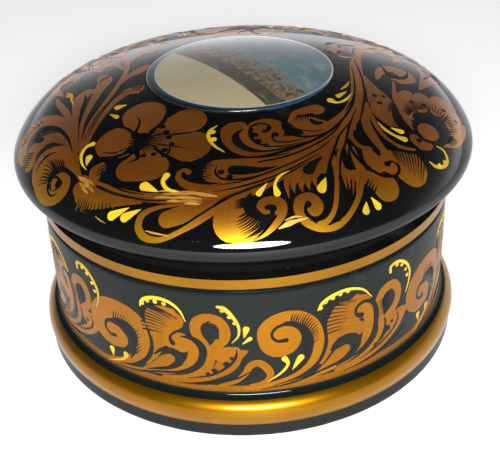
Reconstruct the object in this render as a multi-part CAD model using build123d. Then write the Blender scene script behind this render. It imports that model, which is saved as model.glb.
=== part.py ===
"""Round lidded box, turned in two pieces from linden wood, painted and lacquered.

The bowl has a straight painted wall that stands on a rolled foot. A thin rim rises inside its
shoulder. The domed lid has a wide rounded brim. Its skirt drops over the rim and rests on the
shoulder. A printed medallion is let into the middle of the dome.

The frame is in millimetres. +Z is the turning axis and points up, and Z = 0 is what the foot
stands on.
"""

from build123d import *
import math
import os

# ---- Overall --------------------------------------------------------------------------------
brim_radius = 75.0          # the lid's brim, the widest place of the box
seat_height = 52.6          # the bowl's shoulder, which the lid rests on
dome_rise = 23.3            # from the lid's widest place to the top of its dome

# ---- Bowl, outside --------------------------------------------------------------------------
brim_overhang = 7.2         # how far the brim stands out over the wall
roll_overhang = 4.6         # how far the foot's roll stands out from the wall
roll_section = 5.5          # radius of the roll's round section
roll_height = 8.0           # height of the middle of the roll
foot_setback = 0.6          # how far the plain foot under the roll stands back from it
foot_edge = 0.6             # rounding at the bottom edge
cove_radius = 1.8           # hollow where the roll meets the wall
shoulder_round = 2.0        # rounding at the outside of the shoulder

# ---- Bowl, inside and underneath ------------------------------------------------------------
wall_thickness = 8.3
floor_thickness = 7.0
floor_round = 8.0           # inside corner between wall and floor
rim_thickness = 3.2         # thin rim that guides the lid
rim_height = 5.0            # how far the rim stands above the shoulder
rim_edge = 0.7              # rounding at the top of the rim
foot_ring = 15.8            # width of the ring that the bowl stands on
hollow_depth = 1.2          # depth of the hollow inside that ring

# ---- Lid ------------------------------------------------------------------------------------
brim_lift = 16.2            # from the shoulder up to the widest place
nose_radius = 4.0           # under edge of the brim
skirt_overhang = 0.4        # how far the skirt's foot stands out from the bowl's wall
skirt_edge = 0.5            # rounding at the skirt's bottom edge
neck_lift = 5.4             # from the shoulder up to the narrowest place
neck_depth = 1.6            # how far the neck stands back from the skirt's foot
seat_clearance = 0.3        # between the bowl's rim and the lid's bore, all round
rim_headroom = 1.2          # between the top of the rim and the lid's inner step
lid_thickness = 9.0         # wood in the middle of the dome
lid_hollow_round = 12.0     # inside corner between the ceiling and the side
lid_step = 1.0              # how far the lid's side stands outside the bowl's bore

# The dome is a half oval, drawn with three arcs. These say how full each arc is: 1 would give
# the crown and the brim the curve of a true ellipse there.
crown_fullness = 0.84
brim_fullness = 0.65
haunch_fullness = 0.8

# ---- Medallion ------------------------------------------------------------------------------
medallion_radius = 30.0
medallion_thickness = 1.2
medallion_sink = 0.4        # how deep it is let into the dome
medallion_edge = 0.4        # rounding at its upper edge
pocket_clearance = 0.15     # round the medallion, in its pocket

# ---- Worked out -----------------------------------------------------------------------------
wall_radius = brim_radius - brim_overhang
bore_radius = wall_radius - wall_thickness
rim_radius = bore_radius + rim_thickness
skirt_bore_radius = rim_radius + seat_clearance
brim_height = seat_height + brim_lift
dome_height = brim_height + dome_rise
crown_round = crown_fullness * brim_radius**2 / dome_rise
brim_round = brim_fullness * dome_rise**2 / brim_radius
haunch_round = haunch_fullness * math.sqrt(crown_round * brim_round)
crown_centre = Vector(0, dome_height - crown_round)
brim_centre = Vector(brim_radius - brim_round, brim_height)


def turned(edges):
    """One closed outline, in radius and height, turned a full circle about Z."""
    face = make_face([Plane.XZ * edge for edge in edges])
    return revolve(face, Axis.Z, 360)


def outline(*stretches):
    """Edges of a closed outline: points are joined by lines, and arcs are kept as they are."""
    edges = []
    here = None
    first = None
    for stretch in stretches:
        start = Vector(*stretch) if isinstance(stretch, tuple) else stretch @ 0
        if here is not None and (start - here).length > 1e-6:
            edges.append(Line(here, start))
        if isinstance(stretch, tuple):
            here = start
        else:
            edges.append(stretch)
            here = stretch @ 1
        first = start if first is None else first
    if (first - here).length > 1e-6:
        edges.append(Line(here, first))
    return edges


def arc(centre, radius, start_angle, end_angle):
    """Arc about a centre, from one angle to another in degrees, either way round."""
    return CenterArc(centre, radius, start_angle, end_angle - start_angle)


def angle_between(centre, point):
    """Direction from a centre to a point, in degrees above the radius's direction."""
    return math.degrees(math.atan2(point.Y - centre.Y, point.X - centre.X))


def crown_arc(start_radius, end_radius, lift=0.0):
    """Stretch of the crown's arc between two radii, lifted square to the dome."""
    radius = crown_round + lift
    start_angle = math.degrees(math.acos(start_radius / radius))
    end_angle = math.degrees(math.acos(end_radius / radius))
    return arc(crown_centre, radius, start_angle, end_angle)


def dome_arcs(end_radius):
    """The dome from the brim's widest place to a radius on its crown, as three tangent arcs."""
    # The haunch's arc touches the other two, so its middle is at known distances from theirs.
    way = brim_centre - crown_centre
    crown_gap = crown_round - haunch_round
    brim_gap = haunch_round - brim_round
    along = (crown_gap**2 - brim_gap**2 + way.length**2) / (2 * way.length)
    aside = math.sqrt(crown_gap**2 - along**2)
    forward = way.normalized()
    haunch_centre = crown_centre + forward * along + Vector(-forward.Y, forward.X) * aside
    brim_joint = angle_between(haunch_centre, brim_centre)
    crown_joint = angle_between(crown_centre, haunch_centre)
    joint_radius = crown_round * math.cos(math.radians(crown_joint))
    return [
        arc(brim_centre, brim_round, 0, brim_joint),
        arc(haunch_centre, haunch_round, brim_joint, crown_joint),
        crown_arc(joint_radius, end_radius),
    ]


def bowl():
    """Bowl with its rolled foot, shoulder and rim, hollow inside and a little underneath."""
    roll_radius = wall_radius + roll_overhang
    foot_radius = roll_radius - foot_setback
    hollow_radius = foot_radius - foot_ring
    roll_axis = roll_radius - roll_section
    roll_start = -math.degrees(math.acos((foot_radius - roll_axis) / roll_section))
    # The cove touches the wall and the roll, so its middle is a cove radius from both.
    cove_axis = wall_radius + cove_radius
    cove_rise = math.sqrt((roll_section + cove_radius) ** 2 - (cove_axis - roll_axis) ** 2)
    roll_end = math.degrees(math.atan2(cove_rise, cove_axis - roll_axis))
    shoulder_axis = wall_radius - shoulder_round
    rim_top = seat_height + rim_height
    return turned(outline(
        (0, hollow_depth),
        (hollow_radius, hollow_depth),
        (hollow_radius + hollow_depth, 0),
        arc((foot_radius - foot_edge, foot_edge), foot_edge, -90, 0),
        arc((roll_axis, roll_height), roll_section, roll_start, roll_end),
        arc((cove_axis, roll_height + cove_rise), cove_radius, 180 + roll_end, 180),
        arc((shoulder_axis, seat_height - shoulder_round), shoulder_round, 0, 90),
        (rim_radius, seat_height),
        arc((rim_radius - rim_edge, rim_top - rim_edge), rim_edge, 0, 90),
        arc((bore_radius + rim_edge, rim_top - rim_edge), rim_edge, 90, 180),
        arc((bore_radius - floor_round, floor_thickness + floor_round), floor_round, 0, -90),
        (0, floor_thickness),
    ))


def lid():
    """Domed lid with its brim, neck and skirt, hollow inside, with the medallion's pocket."""
    skirt_radius = wall_radius + skirt_overhang
    neck_radius = skirt_radius - neck_depth
    neck_height = seat_height + neck_lift
    # The hollow under the brim touches its nose and is upright at the neck.
    nose_axis = brim_radius - nose_radius
    neck_gap = nose_axis - neck_radius
    neck_drop = brim_height - neck_height
    neck_round = (neck_drop**2 + neck_gap**2 - nose_radius**2) / (2 * (nose_radius + neck_gap))
    nose_angle = -math.degrees(math.atan2(neck_drop, neck_radius + neck_round - nose_axis))
    # The ceiling follows the crown at the lid's thickness, and is rounded into an upright side.
    side_radius = bore_radius + lid_step
    ceiling_round = crown_round - lid_thickness
    corner_axis = side_radius - lid_hollow_round
    corner_rise = math.sqrt((ceiling_round - lid_hollow_round) ** 2 - corner_axis**2)
    corner_centre = (corner_axis, crown_centre.Y + corner_rise)
    ceiling_angle = math.degrees(math.atan2(corner_rise, corner_axis))
    step_height = seat_height + rim_height + rim_headroom
    pocket_radius = medallion_radius + pocket_clearance
    return turned(outline(
        (skirt_bore_radius, seat_height),
        arc((skirt_radius - skirt_edge, seat_height + skirt_edge), skirt_edge, -90, 0),
        arc((neck_radius + neck_round, neck_height), neck_round, 180, 180 + nose_angle),
        arc((nose_axis, brim_height), nose_radius, nose_angle, 0),
        *dome_arcs(pocket_radius),
        crown_arc(pocket_radius, 0, -medallion_sink),
        arc(crown_centre, ceiling_round, 90, ceiling_angle),
        arc(corner_centre, lid_hollow_round, ceiling_angle, 0),
        (side_radius, step_height),
        (skirt_bore_radius, step_height),
    ))


def medallion():
    """Printed disc, curved like the dome that it is let into, with its upper edge rounded."""
    disc = turned(outline(
        crown_arc(0, medallion_radius, -medallion_sink),
        crown_arc(medallion_radius, 0, medallion_thickness - medallion_sink),
    ))
    rims = disc.edges().filter_by(lambda edge: edge.is_closed).sort_by(Axis.Z)
    return fillet(rims[-1], medallion_edge)


parts = {
    "bowl": bowl(),
    "lid": lid(),
    "medallion": medallion(),
}

os.makedirs("parts", exist_ok=True)
for name, part in parts.items():
    export_step(part, f"parts/{name}.step")
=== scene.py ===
import logging
import math
import random
from dataclasses import dataclass, field
from enum import Enum
from typing import Iterable, Sequence

import bpy
from mathutils import Matrix, Vector


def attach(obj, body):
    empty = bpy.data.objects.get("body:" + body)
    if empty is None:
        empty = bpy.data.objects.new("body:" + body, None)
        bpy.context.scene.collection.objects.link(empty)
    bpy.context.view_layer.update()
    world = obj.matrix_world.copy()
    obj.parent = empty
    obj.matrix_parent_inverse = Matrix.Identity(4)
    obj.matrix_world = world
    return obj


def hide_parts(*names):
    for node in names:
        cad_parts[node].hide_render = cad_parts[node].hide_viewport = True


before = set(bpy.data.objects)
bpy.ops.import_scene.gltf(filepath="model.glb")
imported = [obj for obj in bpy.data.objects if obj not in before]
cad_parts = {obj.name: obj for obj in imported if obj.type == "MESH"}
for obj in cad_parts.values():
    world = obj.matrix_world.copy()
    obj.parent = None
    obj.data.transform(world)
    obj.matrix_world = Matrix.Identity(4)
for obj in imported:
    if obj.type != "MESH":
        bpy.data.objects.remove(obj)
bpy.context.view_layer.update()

log = logging.getLogger("painted_box")

MM = 0.001
Pair = tuple[float, float]
Station = tuple[float, float, float]
Colour = tuple[float, float, float]
Tree, Node, Socket = bpy.types.NodeTree, bpy.types.Node, bpy.types.NodeSocket
Thing, Material = bpy.types.Object, bpy.types.Material
Feed = float | str | tuple[float, ...] | bpy.types.ID | Socket


class Layer(Enum):
    """Which coat of paint a stroke belongs to, lowest first."""

    GOLD = "gold"
    LINE = "line"
    YELLOW = "yellow"
    PALE = "pale"


# ---------------------------------------------------------------- node helpers


@dataclass
class Graph:
    """Adds nodes to one node tree and wires them together."""

    tree: Tree

    def add(self, kind: str, feeds: dict[str | int, Feed] | None = None, **settings: object) -> Node:
        """Adds a node.

        Args:
            kind: the node's type name.
            feeds: input name or number to a value or to another node's output.
            **settings: properties set on the node before its inputs are fed.

        Returns:
            The new node.
        """
        node = self.tree.nodes.new(kind)
        for name, value in settings.items():
            setattr(node, name, value)
        self.feed_all(node, feeds or {})
        return node

    def feed_all(self, node: Node, feeds: dict[str | int, Feed]) -> None:
        """Sets or links several inputs of a node, by name or number."""
        for name, value in feeds.items():
            self.feed(node, name, value)

    def feed(self, node: Node, name: str | int, value: Feed) -> None:
        """Sets one input of a node, or links an output to it.

        Args:
            node: the node.
            name: the input's name or number.
            value: a value, or another node's output.
        """
        if isinstance(name, int):
            socket = node.inputs[name]
        else:
            socket = next(s for s in node.inputs if s.enabled and s.name == name)
        if isinstance(value, Socket):
            self.tree.links.new(value, socket)
        else:
            socket.default_value = value

    def out(self, node: Node, name: str | int = 0) -> Socket:
        """The enabled output of that name or number.

        Args:
            node: the node.
            name: the output's name, or its number among those enabled.

        Returns:
            The output.
        """
        shown = [s for s in node.outputs if s.enabled]
        return shown[name] if isinstance(name, int) else next(s for s in shown if s.name == name)

    def math(self, operation: str, *values: Feed, clamp: bool = False) -> Socket:
        """The output of a Math node fed with these values.

        Args:
            operation: the node's operation.
            *values: its inputs, in order.
            clamp: whether the result is held between 0 and 1.

        Returns:
            The result.
        """
        node = self.add("ShaderNodeMath", dict(enumerate(values)), operation=operation, use_clamp=clamp)
        return node.outputs[0]

    def plus(self, left: Feed, right: Feed) -> Socket:
        """The sum of two values."""
        return self.math("ADD", left, right)

    def minus(self, left: Feed, right: Feed) -> Socket:
        """The first value less the second."""
        return self.math("SUBTRACT", left, right)

    def times(self, left: Feed, right: Feed) -> Socket:
        """The product of two values."""
        return self.math("MULTIPLY", left, right)

    def over(self, left: Feed, right: Feed) -> Socket:
        """The first value divided by the second."""
        return self.math("DIVIDE", left, right)

    def below(self, left: Feed, right: Feed) -> Socket:
        """1 where the first value is the smaller, else 0."""
        return self.math("LESS_THAN", left, right)

    def above(self, left: Feed, right: Feed) -> Socket:
        """1 where the first value is the larger, else 0."""
        return self.math("GREATER_THAN", left, right)

    def form(self, kind: str, feeds: dict[str | int, Feed] | None = None) -> Socket:
        """The first output of a geometry node, named without its prefix."""
        return self.add("GeometryNode" + kind, feeds).outputs[0]

    def place(self) -> Socket:
        """The shaded point in the object's own frame."""
        return self.add("ShaderNodeTexCoord").outputs["Object"]

    def vector(self, x: Feed, y: Feed, z: Feed) -> Socket:
        """The output of a Combine XYZ node."""
        return self.add("ShaderNodeCombineXYZ", {"X": x, "Y": y, "Z": z}).outputs[0]

    def split(self, value: Feed) -> tuple[Socket, ...]:
        """The three parts of a vector."""
        return tuple(self.add("ShaderNodeSeparateXYZ", {0: value}).outputs)

    def ramp(self, value: Feed, *stops: tuple[float, Colour]) -> Socket:
        """The colour of a ramp through (place, colour) stops.

        Args:
            value: the place looked up.
            *stops: (place, colour) pairs, rising.

        Returns:
            The colour.
        """
        node = self.add("ShaderNodeValToRGB", {"Fac": value})
        ramp = node.color_ramp
        while len(ramp.elements) < len(stops):
            ramp.elements.new(1.0)
        for element, (place, colour) in zip(ramp.elements, stops):
            element.position = place
            element.color = (*colour, 1.0)
        return node.outputs["Color"]

    def blend(self, factor: Feed, first: Feed, second: Feed) -> Socket:
        """A colour between two, by factor.

        Args:
            factor: 0 for the first, 1 for the second.
            first: a colour.
            second: a colour.

        Returns:
            The colour.
        """
        node = self.add("ShaderNodeMix", data_type="RGBA")
        for name, value in (("Factor", factor), ("A", first), ("B", second)):
            if isinstance(value, tuple) and len(value) == 3:
                value = (*value, 1.0)
            self.feed(node, name, value)
        return self.out(node, "Result")

    def spread(self, value: Feed, low: float, high: float, new_low: float = 0.0,
               new_high: float = 1.0) -> Socket:
        """A value moved from one range to another and held inside it."""
        feeds = {"Value": value, "From Min": low, "From Max": high, "To Min": new_low, "To Max": new_high}
        return self.add("ShaderNodeMapRange", feeds).outputs[0]

    def noise(self, vector: Feed, scale: float, detail: float = 2.0, rough: float = 0.5) -> Socket:
        """The value of a noise texture."""
        feeds = {"Vector": vector, "Scale": scale, "Detail": detail, "Roughness": rough}
        return self.add("ShaderNodeTexNoise", feeds).outputs[0]


def new_group(
    name: str, kind: str, inputs: Sequence[tuple[str, str, float | None]], outputs: Sequence[tuple[str, str]]
) -> tuple[Graph, Node, Node]:
    """Starts a node group.

    Args:
        name: the group's name.
        kind: the tree type.
        inputs: (name, kind of socket, default) for each input; the default may be None.
        outputs: (name, kind of socket) for each output.

    Returns:
        The group tree's Graph, its input node and its output node.
    """
    tree = bpy.data.node_groups.new(name, kind)
    for label, socket, default in inputs:
        made = tree.interface.new_socket(label, in_out="INPUT", socket_type="NodeSocket" + socket)
        if default is not None:
            made.default_value = default
    for label, socket in outputs:
        tree.interface.new_socket(label, in_out="OUTPUT", socket_type="NodeSocket" + socket)
    graph = Graph(tree)
    return graph, graph.add("NodeGroupInput"), graph.add("NodeGroupOutput")


# ---------------------------------------------------------------- outlines


@dataclass
class Outline:
    """A path in the (radius, height) plane, in millimetres, drawn point by point."""

    points: list[Pair] = field(default_factory=list)

    def to(self, *points: Pair) -> "Outline":
        """Adds straight runs to these points.

        Args:
            *points: the ends of the runs, in order.

        Returns:
            This outline.
        """
        self.points.extend(points)
        return self

    def arc(self, centre: Pair, radius: float, start: float, end: float, step: float = 4.0) -> "Outline":
        """Adds an arc.

        Args:
            centre: the arc's centre.
            radius: its radius.
            start: the angle it begins at, in degrees from the outward axis.
            end: the angle it ends at.
            step: the largest turn between points.

        Returns:
            This outline.
        """
        count = max(2, math.ceil(abs(end - start) / step))
        for index in range(count + 1):
            angle = math.radians(start + (end - start) * index / count)
            self.points.append((centre[0] + radius * math.cos(angle), centre[1] + radius * math.sin(angle)))
        return self

    def even(self, step: float) -> "Outline":
        """A copy with no run longer than step and no doubled points.

        Args:
            step: the longest run wanted.

        Returns:
            The copy.
        """
        made: list[Pair] = [self.points[0]]
        for target in self.points[1:]:
            here = made[-1]
            gap = math.dist(here, target)
            if gap < 1e-4:
                continue
            count = max(1, math.ceil(gap / step))
            made.extend(
                (here[0] + (target[0] - here[0]) * k / count, here[1] + (target[1] - here[1]) * k / count)
                for k in range(1, count + 1)
            )
        return Outline(made)

    def between(self, start: float, end: float) -> "Outline":
        """The part between two distances along the path.

        Args:
            start: where the part begins.
            end: where it ends.

        Returns:
            The part, as a new outline.
        """
        made: list[Pair] = []
        run = 0.0
        for here, there in zip(self.points, self.points[1:]):
            gap = math.dist(here, there)
            for mark in (start, end):
                if run <= mark < run + gap and (mark == start or made):
                    part = (mark - run) / gap
                    made.append((here[0] + (there[0] - here[0]) * part,
                        here[1] + (there[1] - here[1]) * part))
            run += gap
            if start < run < end:
                made.append(there)
        return Outline(made)

    def shifted(self, distance: float) -> "Outline":
        """A copy moved sideways, to the left of the way it runs if distance is positive.

        Args:
            distance: how far to move it.

        Returns:
            The copy, never past the axis.
        """
        made = []
        last = len(self.points) - 1
        for index, (x, z) in enumerate(self.points):
            before, after = self.points[max(0, index - 1)], self.points[min(last, index + 1)]
            run = math.dist(before, after)
            made.append((max(0.0, x - (after[1] - before[1]) / run * distance),
                         z + (after[0] - before[0]) / run * distance))
        return Outline(made)

    def skin(self, coat: float, sink: float) -> "Outline":
        """The closed cross-section of a coat of paint on this path.

        Args:
            coat: how far the paint stands above the path.
            sink: how far it goes below.

        Returns:
            The section. One that starts on the axis is left open there, because the axis closes it.
        """
        top, under = self.shifted(coat), self.shifted(-sink)
        closing = top.points[:1] if top.points[0][0] > 0.0 else []
        return Outline(top.points + under.points[::-1] + closing)


# ---------------------------------------------------------------- strokes


THINNEST = 0.03
BEND_HOLD = 0.97
CAP_TURNS = (20, 38, 54, 68, 79, 87)
FINE_TIP = 0.05


@dataclass(frozen=True)
class Stroke:
    """One brush stroke on a flattened surface, in millimetres."""

    stations: tuple[Station, ...]
    layer: Layer
    round_start: bool = True
    round_end: bool = False

    def moved(self, turn: float, shift: Pair, flip: bool = False) -> "Stroke":
        """A copy mirrored, then turned by degrees about the origin, then shifted.

        Args:
            turn: the turn in degrees.
            shift: the shift afterwards.
            flip: whether it is mirrored first.

        Returns:
            The copy.
        """
        c, s = math.cos(math.radians(turn)), math.sin(math.radians(turn))
        side = -1.0 if flip else 1.0
        made = tuple((c * x * side - s * y + shift[0], s * x * side + c * y + shift[1], w) for x, y,
                     w in self.stations)
        return Stroke(made, self.layer, self.round_start, self.round_end)

    def rolled(self, per_degree: float) -> "Stroke":
        """A copy whose first coordinate is turned from degrees into millimetres."""
        made = tuple((x * per_degree, y, w) for x, y, w in self.stations)
        return Stroke(made, self.layer, self.round_start, self.round_end)

    def samples(self, step: float) -> list[Station]:
        """The stroke's centre line as closely spaced points.

        Args:
            step: the wanted distance between points.

        Returns:
            (x, y, half width) for each point, with the round ends added and the width kept
            down inside tight bends.
        """
        knots = list(self.stations)
        gaps = [max(1e-3, math.dist(a[:2], b[:2])) for a, b in zip(knots, knots[1:])]
        slopes = []
        for index in range(len(knots)):
            low, high = max(0, index - 1), min(len(knots) - 1, index + 1)
            span = sum(gaps[low:high])
            slopes.append(tuple((knots[high][k] - knots[low][k]) / span for k in range(3)))
        line: list[Station] = []
        for index, gap in enumerate(gaps):
            count = max(2, math.ceil(gap / step))
            for part in range(count + (index == len(gaps) - 1)):
                t = part / count
                h = (2 * t**3 - 3 * t**2 + 1, t**3 - 2 * t**2 + t, 3 * t**2 - 2 * t**3, t**3 - t**2)
                a, b, rise, fall = knots[index], knots[index + 1], slopes[index], slopes[index + 1]
                line.append(tuple(
                    h[0] * a[k] + h[1] * gap * rise[k] + h[2] * b[k] + h[3] * gap * fall[k] for k in range(3)
                ))
        held = []
        for index, (x, y, w) in enumerate(line):
            low, high = max(0, index - 2), min(len(line) - 1, index + 2)
            a, b, c = line[low][:2], (x, y), line[high][:2]
            area = abs((b[0] - a[0]) * (c[1] - a[1]) - (c[0] - a[0]) * (b[1] - a[1]))
            sides = math.dist(a, b) * math.dist(b, c) * math.dist(a, c)
            bend = sides / (2 * area) if area > 1e-7 else 1e6
            held.append((x, y, max(THINNEST, min(w, BEND_HOLD * bend))))
        return self._cap(held, False) + held + self._cap(held, True)

    def _cap(self, line: list[Station], at_end: bool) -> list[Station]:
        """The points that round off one end of the stroke.

        Args:
            line: the stroke's points.
            at_end: whether it is the end or the start.

        Returns:
            The points, in the stroke's order.
        """
        if not (self.round_end if at_end else self.round_start):
            return []
        tip, inner = (line[-1], line[-2]) if at_end else (line[0], line[1])
        run = math.dist(tip[:2], inner[:2]) or 1.0
        way = ((tip[0] - inner[0]) / run, (tip[1] - inner[1]) / run)
        turns = [math.radians(a) for a in CAP_TURNS]
        made = [
            (tip[0] + way[0] * tip[2] * math.sin(a), tip[1] + way[1] * tip[2] * math.sin(a),
             tip[2] * math.cos(a))
            for a in turns
        ]
        return made if at_end else made[::-1]


def of_layer(strokes: Iterable[Stroke], layer: Layer) -> list[Stroke]:
    """The strokes painted in one coat."""
    return [stroke for stroke in strokes if stroke.layer is layer]


def gold(*stations: Station, end: bool = False) -> Stroke:
    """A gold stroke with a round start and, if end is set, a round end."""
    return Stroke(stations, Layer.GOLD, True, end)


def line(*stations: Station, end: bool = False) -> Stroke:
    """A black stroke over the gold."""
    return Stroke(stations, Layer.LINE, True, end)


def yellow(*stations: Station) -> Stroke:
    """A yellow accent stroke."""
    return Stroke(stations, Layer.YELLOW, True, False)


def pale(*stations: Station) -> Stroke:
    """A pale stroke over the gold."""
    return Stroke(stations, Layer.PALE, False, False)


def dot(x: float, y: float, radius: float, layer: Layer = Layer.LINE) -> Stroke:
    """A round dab."""
    return Stroke(((x - 0.05, y, radius), (x + 0.05, y, radius)), layer, True, True)


def drop(x: float, y: float, tip_x: float, tip_y: float, width: float, layer: Layer = Layer.YELLOW) -> Stroke:
    """A teardrop with its round head at (x, y)."""
    near = (x + (tip_x - x) * 0.45, y + (tip_y - y) * 0.45, width * 0.62)
    return Stroke(((x, y, width), near, (tip_x, tip_y, FINE_TIP)), layer, True, False)


def along(guide: Sequence[Pair], part: float) -> Pair:
    """The point that far along a guide, from 0 to 1.

    Args:
        guide: the guide's points.
        part: how far along.

    Returns:
        The point.
    """
    place = part * (len(guide) - 1)
    index = min(int(place), len(guide) - 2)
    rest = place - index
    a, b = guide[index], guide[index + 1]
    return a[0] + (b[0] - a[0]) * rest, a[1] + (b[1] - a[1]) * rest


def comb(
    first: Sequence[Pair], second: Sequence[Pair], count: int, width: float, layer: Layer = Layer.LINE,
    bow: float = 0.0
) -> list[Stroke]:
    """Tapered strokes side by side.

    Args:
        first: guide points the strokes start from, at full width.
        second: guide points they run out at.
        count: how many strokes.
        width: half width at the start.
        layer: the coat they are painted in.
        bow: how far the middle of each swings sideways, as a share of its length.

    Returns:
        The strokes.
    """
    made = []
    uneven = random.Random(count * 31 + int(first[0][0] * 7))
    for index in range(count):
        part = (index + 0.5) / count
        a, b = along(first, part), along(second, part)
        reach = uneven.uniform(0.82, 1.06)
        b = (a[0] + (b[0] - a[0]) * reach, a[1] + (b[1] - a[1]) * reach)
        swing = bow * uneven.uniform(0.8, 1.2)
        middle = ((a[0] + b[0]) / 2 - (b[1] - a[1]) * swing, (a[1] + b[1]) / 2 + (b[0] - a[0]) * swing)
        thick = width * uneven.uniform(0.8, 1.15)
        made.append(Stroke(((*a, thick), (*middle, thick * 0.75), (*b, FINE_TIP)), layer, True, False))
    return made


# ---------------------------------------------------------------- the lid's painting


def five_petal_flower() -> list[Stroke]:
    """The open flower beside the medallion.

    Returns:
        The strokes.
    """
    return [
        gold((-29.8, -34, 2.4), (-29.6, -30.4, 5.4), (-29.5, -25.2, 6.9), end=True),
        gold((-25.4, -36.4, 1), (-21.4, -34, 4), (-16.3, -32, 6.1), end=True),
        gold((-25.6, -40.4, 1.2), (-20.8, -42.2, 4.2), (-15.5, -44, 6.6), end=True),
        gold((-28.4, -43.4, 2.6), (-28.7, -46.6, 5.4), (-28.8, -49.6, 6.3), end=True),
        gold((-26.8, -38.6, 2.4), (-23, -38.4, 3.6), (-19.4, -38.2, 3.4), end=True),
        line((-25, -38.2, 0.1), (-20, -38.4, 0.2), (-14.4, -38, 0.34)),
        gold((-32, -50.3, 4.9), (-26.3, -51, 5.1), end=True),
        gold((-33.2, -37.6, 2.4), (-35.6, -37, 5), (-38.2, -36.6, 5.8), end=True),
        gold((-37.8, -34.8, 4.9), (-38.4, -38.6, 5.1), end=True),
        line((-29.2, -36.6, 1.7), (-29.6, -38.8, 2.5), (-30.6, -41.4, 1.7), end=True),
        line((-31.6, -35.4, 1.4), (-29.6, -36.8, 1.6), (-26.8, -36.6, 0.8)),
        line((-22.6, -36.4, 0.1), (-24, -36.6, 0.3), (-27, -37.6, 0.4)),
        line((-31.5, -33.5, 0.5), (-30.6, -29, 0.35), (-31.6, -25.5, 0.1)),
        line((-32, -34.5, 0.6), (-34.8, -30.8, 0.5), (-38.5, -29.2, 0.1)),
        line((-31, -43, 0.9), (-30.6, -46.3, 0.6), (-33.3, -47.5, 0.15)),
        line((-33, -42.8, 0.7), (-37.5, -43.7, 0.6), (-42, -42.4, 0.15)),
        line((-34, -41, 0.3), (-38, -41.8, 0.3), (-41.5, -40.3, 0.08)),
        line((-24.5, -37.4, 0.25), (-18, -37.8, 0.35), (-12, -38.1, 0.15)),
        line((-24.5, -41.5, 0.2), (-20, -43.3, 0.3), (-16.5, -45, 0.08)),
        line((-23, -47, 0.5), (-21.4, -45.8, 0.4), (-20.9, -41, 0.1)),
        line((-24.7, -33.4, 0.4), (-22.8, -30.5, 0.4), (-22.6, -27.5, 0.12)),
        *comb([(-28.4, -36.2), (-27.4, -38), (-27.8, -40.6), (-29.8, -42.2)],
              [(-23.6, -33.6), (-21.6, -38.8), (-22.6, -44.8), (-28.6, -45.6)], 15, 0.24),
        *comb([(-31, -36), (-32, -39), (-31.4, -42)], [(-32.8, -34.4), (-34.2, -38.6), (-32.6, -44.4)], 7,
              0.4),
        *(dot(x, y, r) for x, y, r in (
            (-23.4, -33.3, 0.95), (-22.3, -36.3, 1), (-21.4, -39, 0.9), (-20.5, -42.3, 0.85),
            (-22.6, -44.6, 0.95), (-25.8, -45.6, 0.8), (-28.8, -45.5, 0.9),
        )),
    ]


def front_leaf() -> list[Stroke]:
    """The large bright leaf at the front of the rim, with its curl, and the scroll beside it.

    Returns:
        The strokes.
    """
    return [
        gold((-3.7, -73, 5.6), (0, -74.6, 4.3), (4, -75.2, 2.4), (7.6, -73.2, 1.9), (10.1, -70.4, 1.5),
             (9.9, -67.8, 1.5), (7.3, -66.8, 1.15), (4.9, -67.7, 1.2), (4.3, -69.5, 1.2), (6, -70.4, 0.9),
             end=True),
        gold((-3.4, -70, 4), (-3, -67.6, 2.2), (-2, -65.8, 0.9), (0.6, -64.4, 0.4)),
        line((1.6, -64.8, 0.35), (0.9, -67.4, 1.5), (1.8, -70, 1.7), (4.6, -71.7, 0.9), (7.2, -71.2, 0.45),
             (8.4, -69.8, 0.12)),
        line((6.1, -69.1, 0.75), (7.6, -69.6, 0.3), (8, -71, 0.25), (6.6, -72.8, 0.1)),
        *comb([(-0.2, -65.8), (-0.5, -68.8)], [(-2.8, -66.8), (-3.2, -69.8)], 6, 0.26),
        *comb([(0.4, -69.8), (3.2, -71.8), (6.6, -72), (8.8, -71.4)],
              [(-3.2, -71.6), (-2.4, -75.4), (-1, -77.8), (2, -78.6)], 13, 0.34, bow=0.07),
        gold((33.6, -56, 0.9), (32.6, -63, 0.8), (30, -69, 0.8), (26.3, -72.9, 0.95), (21.5, -74.2, 1),
             (17.3, -73, 1.15), (14.9, -70, 1.3), (15.2, -66.8, 1.4), (18, -65.6, 1.5), (20.3, -67.2, 1.5),
             (20.3, -69.3, 1.4), (18.6, -70, 1.2), end=True),
        gold((25.6, -50, 0.8), (26, -57, 0.6), (25.9, -64, 0.7), (25.1, -69, 0.7), (23.2, -72, 0.8),
             (20.5, -73.3, 0.8)),
        gold((17.4, -68.6, 1.6), (19, -68, 2.2), end=True),
        line((17.6, -67.7, 0.95), (16.8, -68.8, 0.5), (17.1, -70.3, 0.5), (18.8, -71.6, 0.55),
             (21.4, -71.4, 0.45), (22.8, -69.5, 0.12)),
        line((27.2, -71.2, 0.2), (25.4, -71.9, 0.35), (23.7, -73.1, 0.15)),
        pale((9.2, -75, 0.15), (12.2, -73.5, 0.75), (14, -72.8, 0.5), (17.5, -71.6, 0.12)),
        pale((11, -72.7, 0.1), (13.6, -71.6, 0.3), (16, -71.4, 0.08)),
    ]


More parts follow.
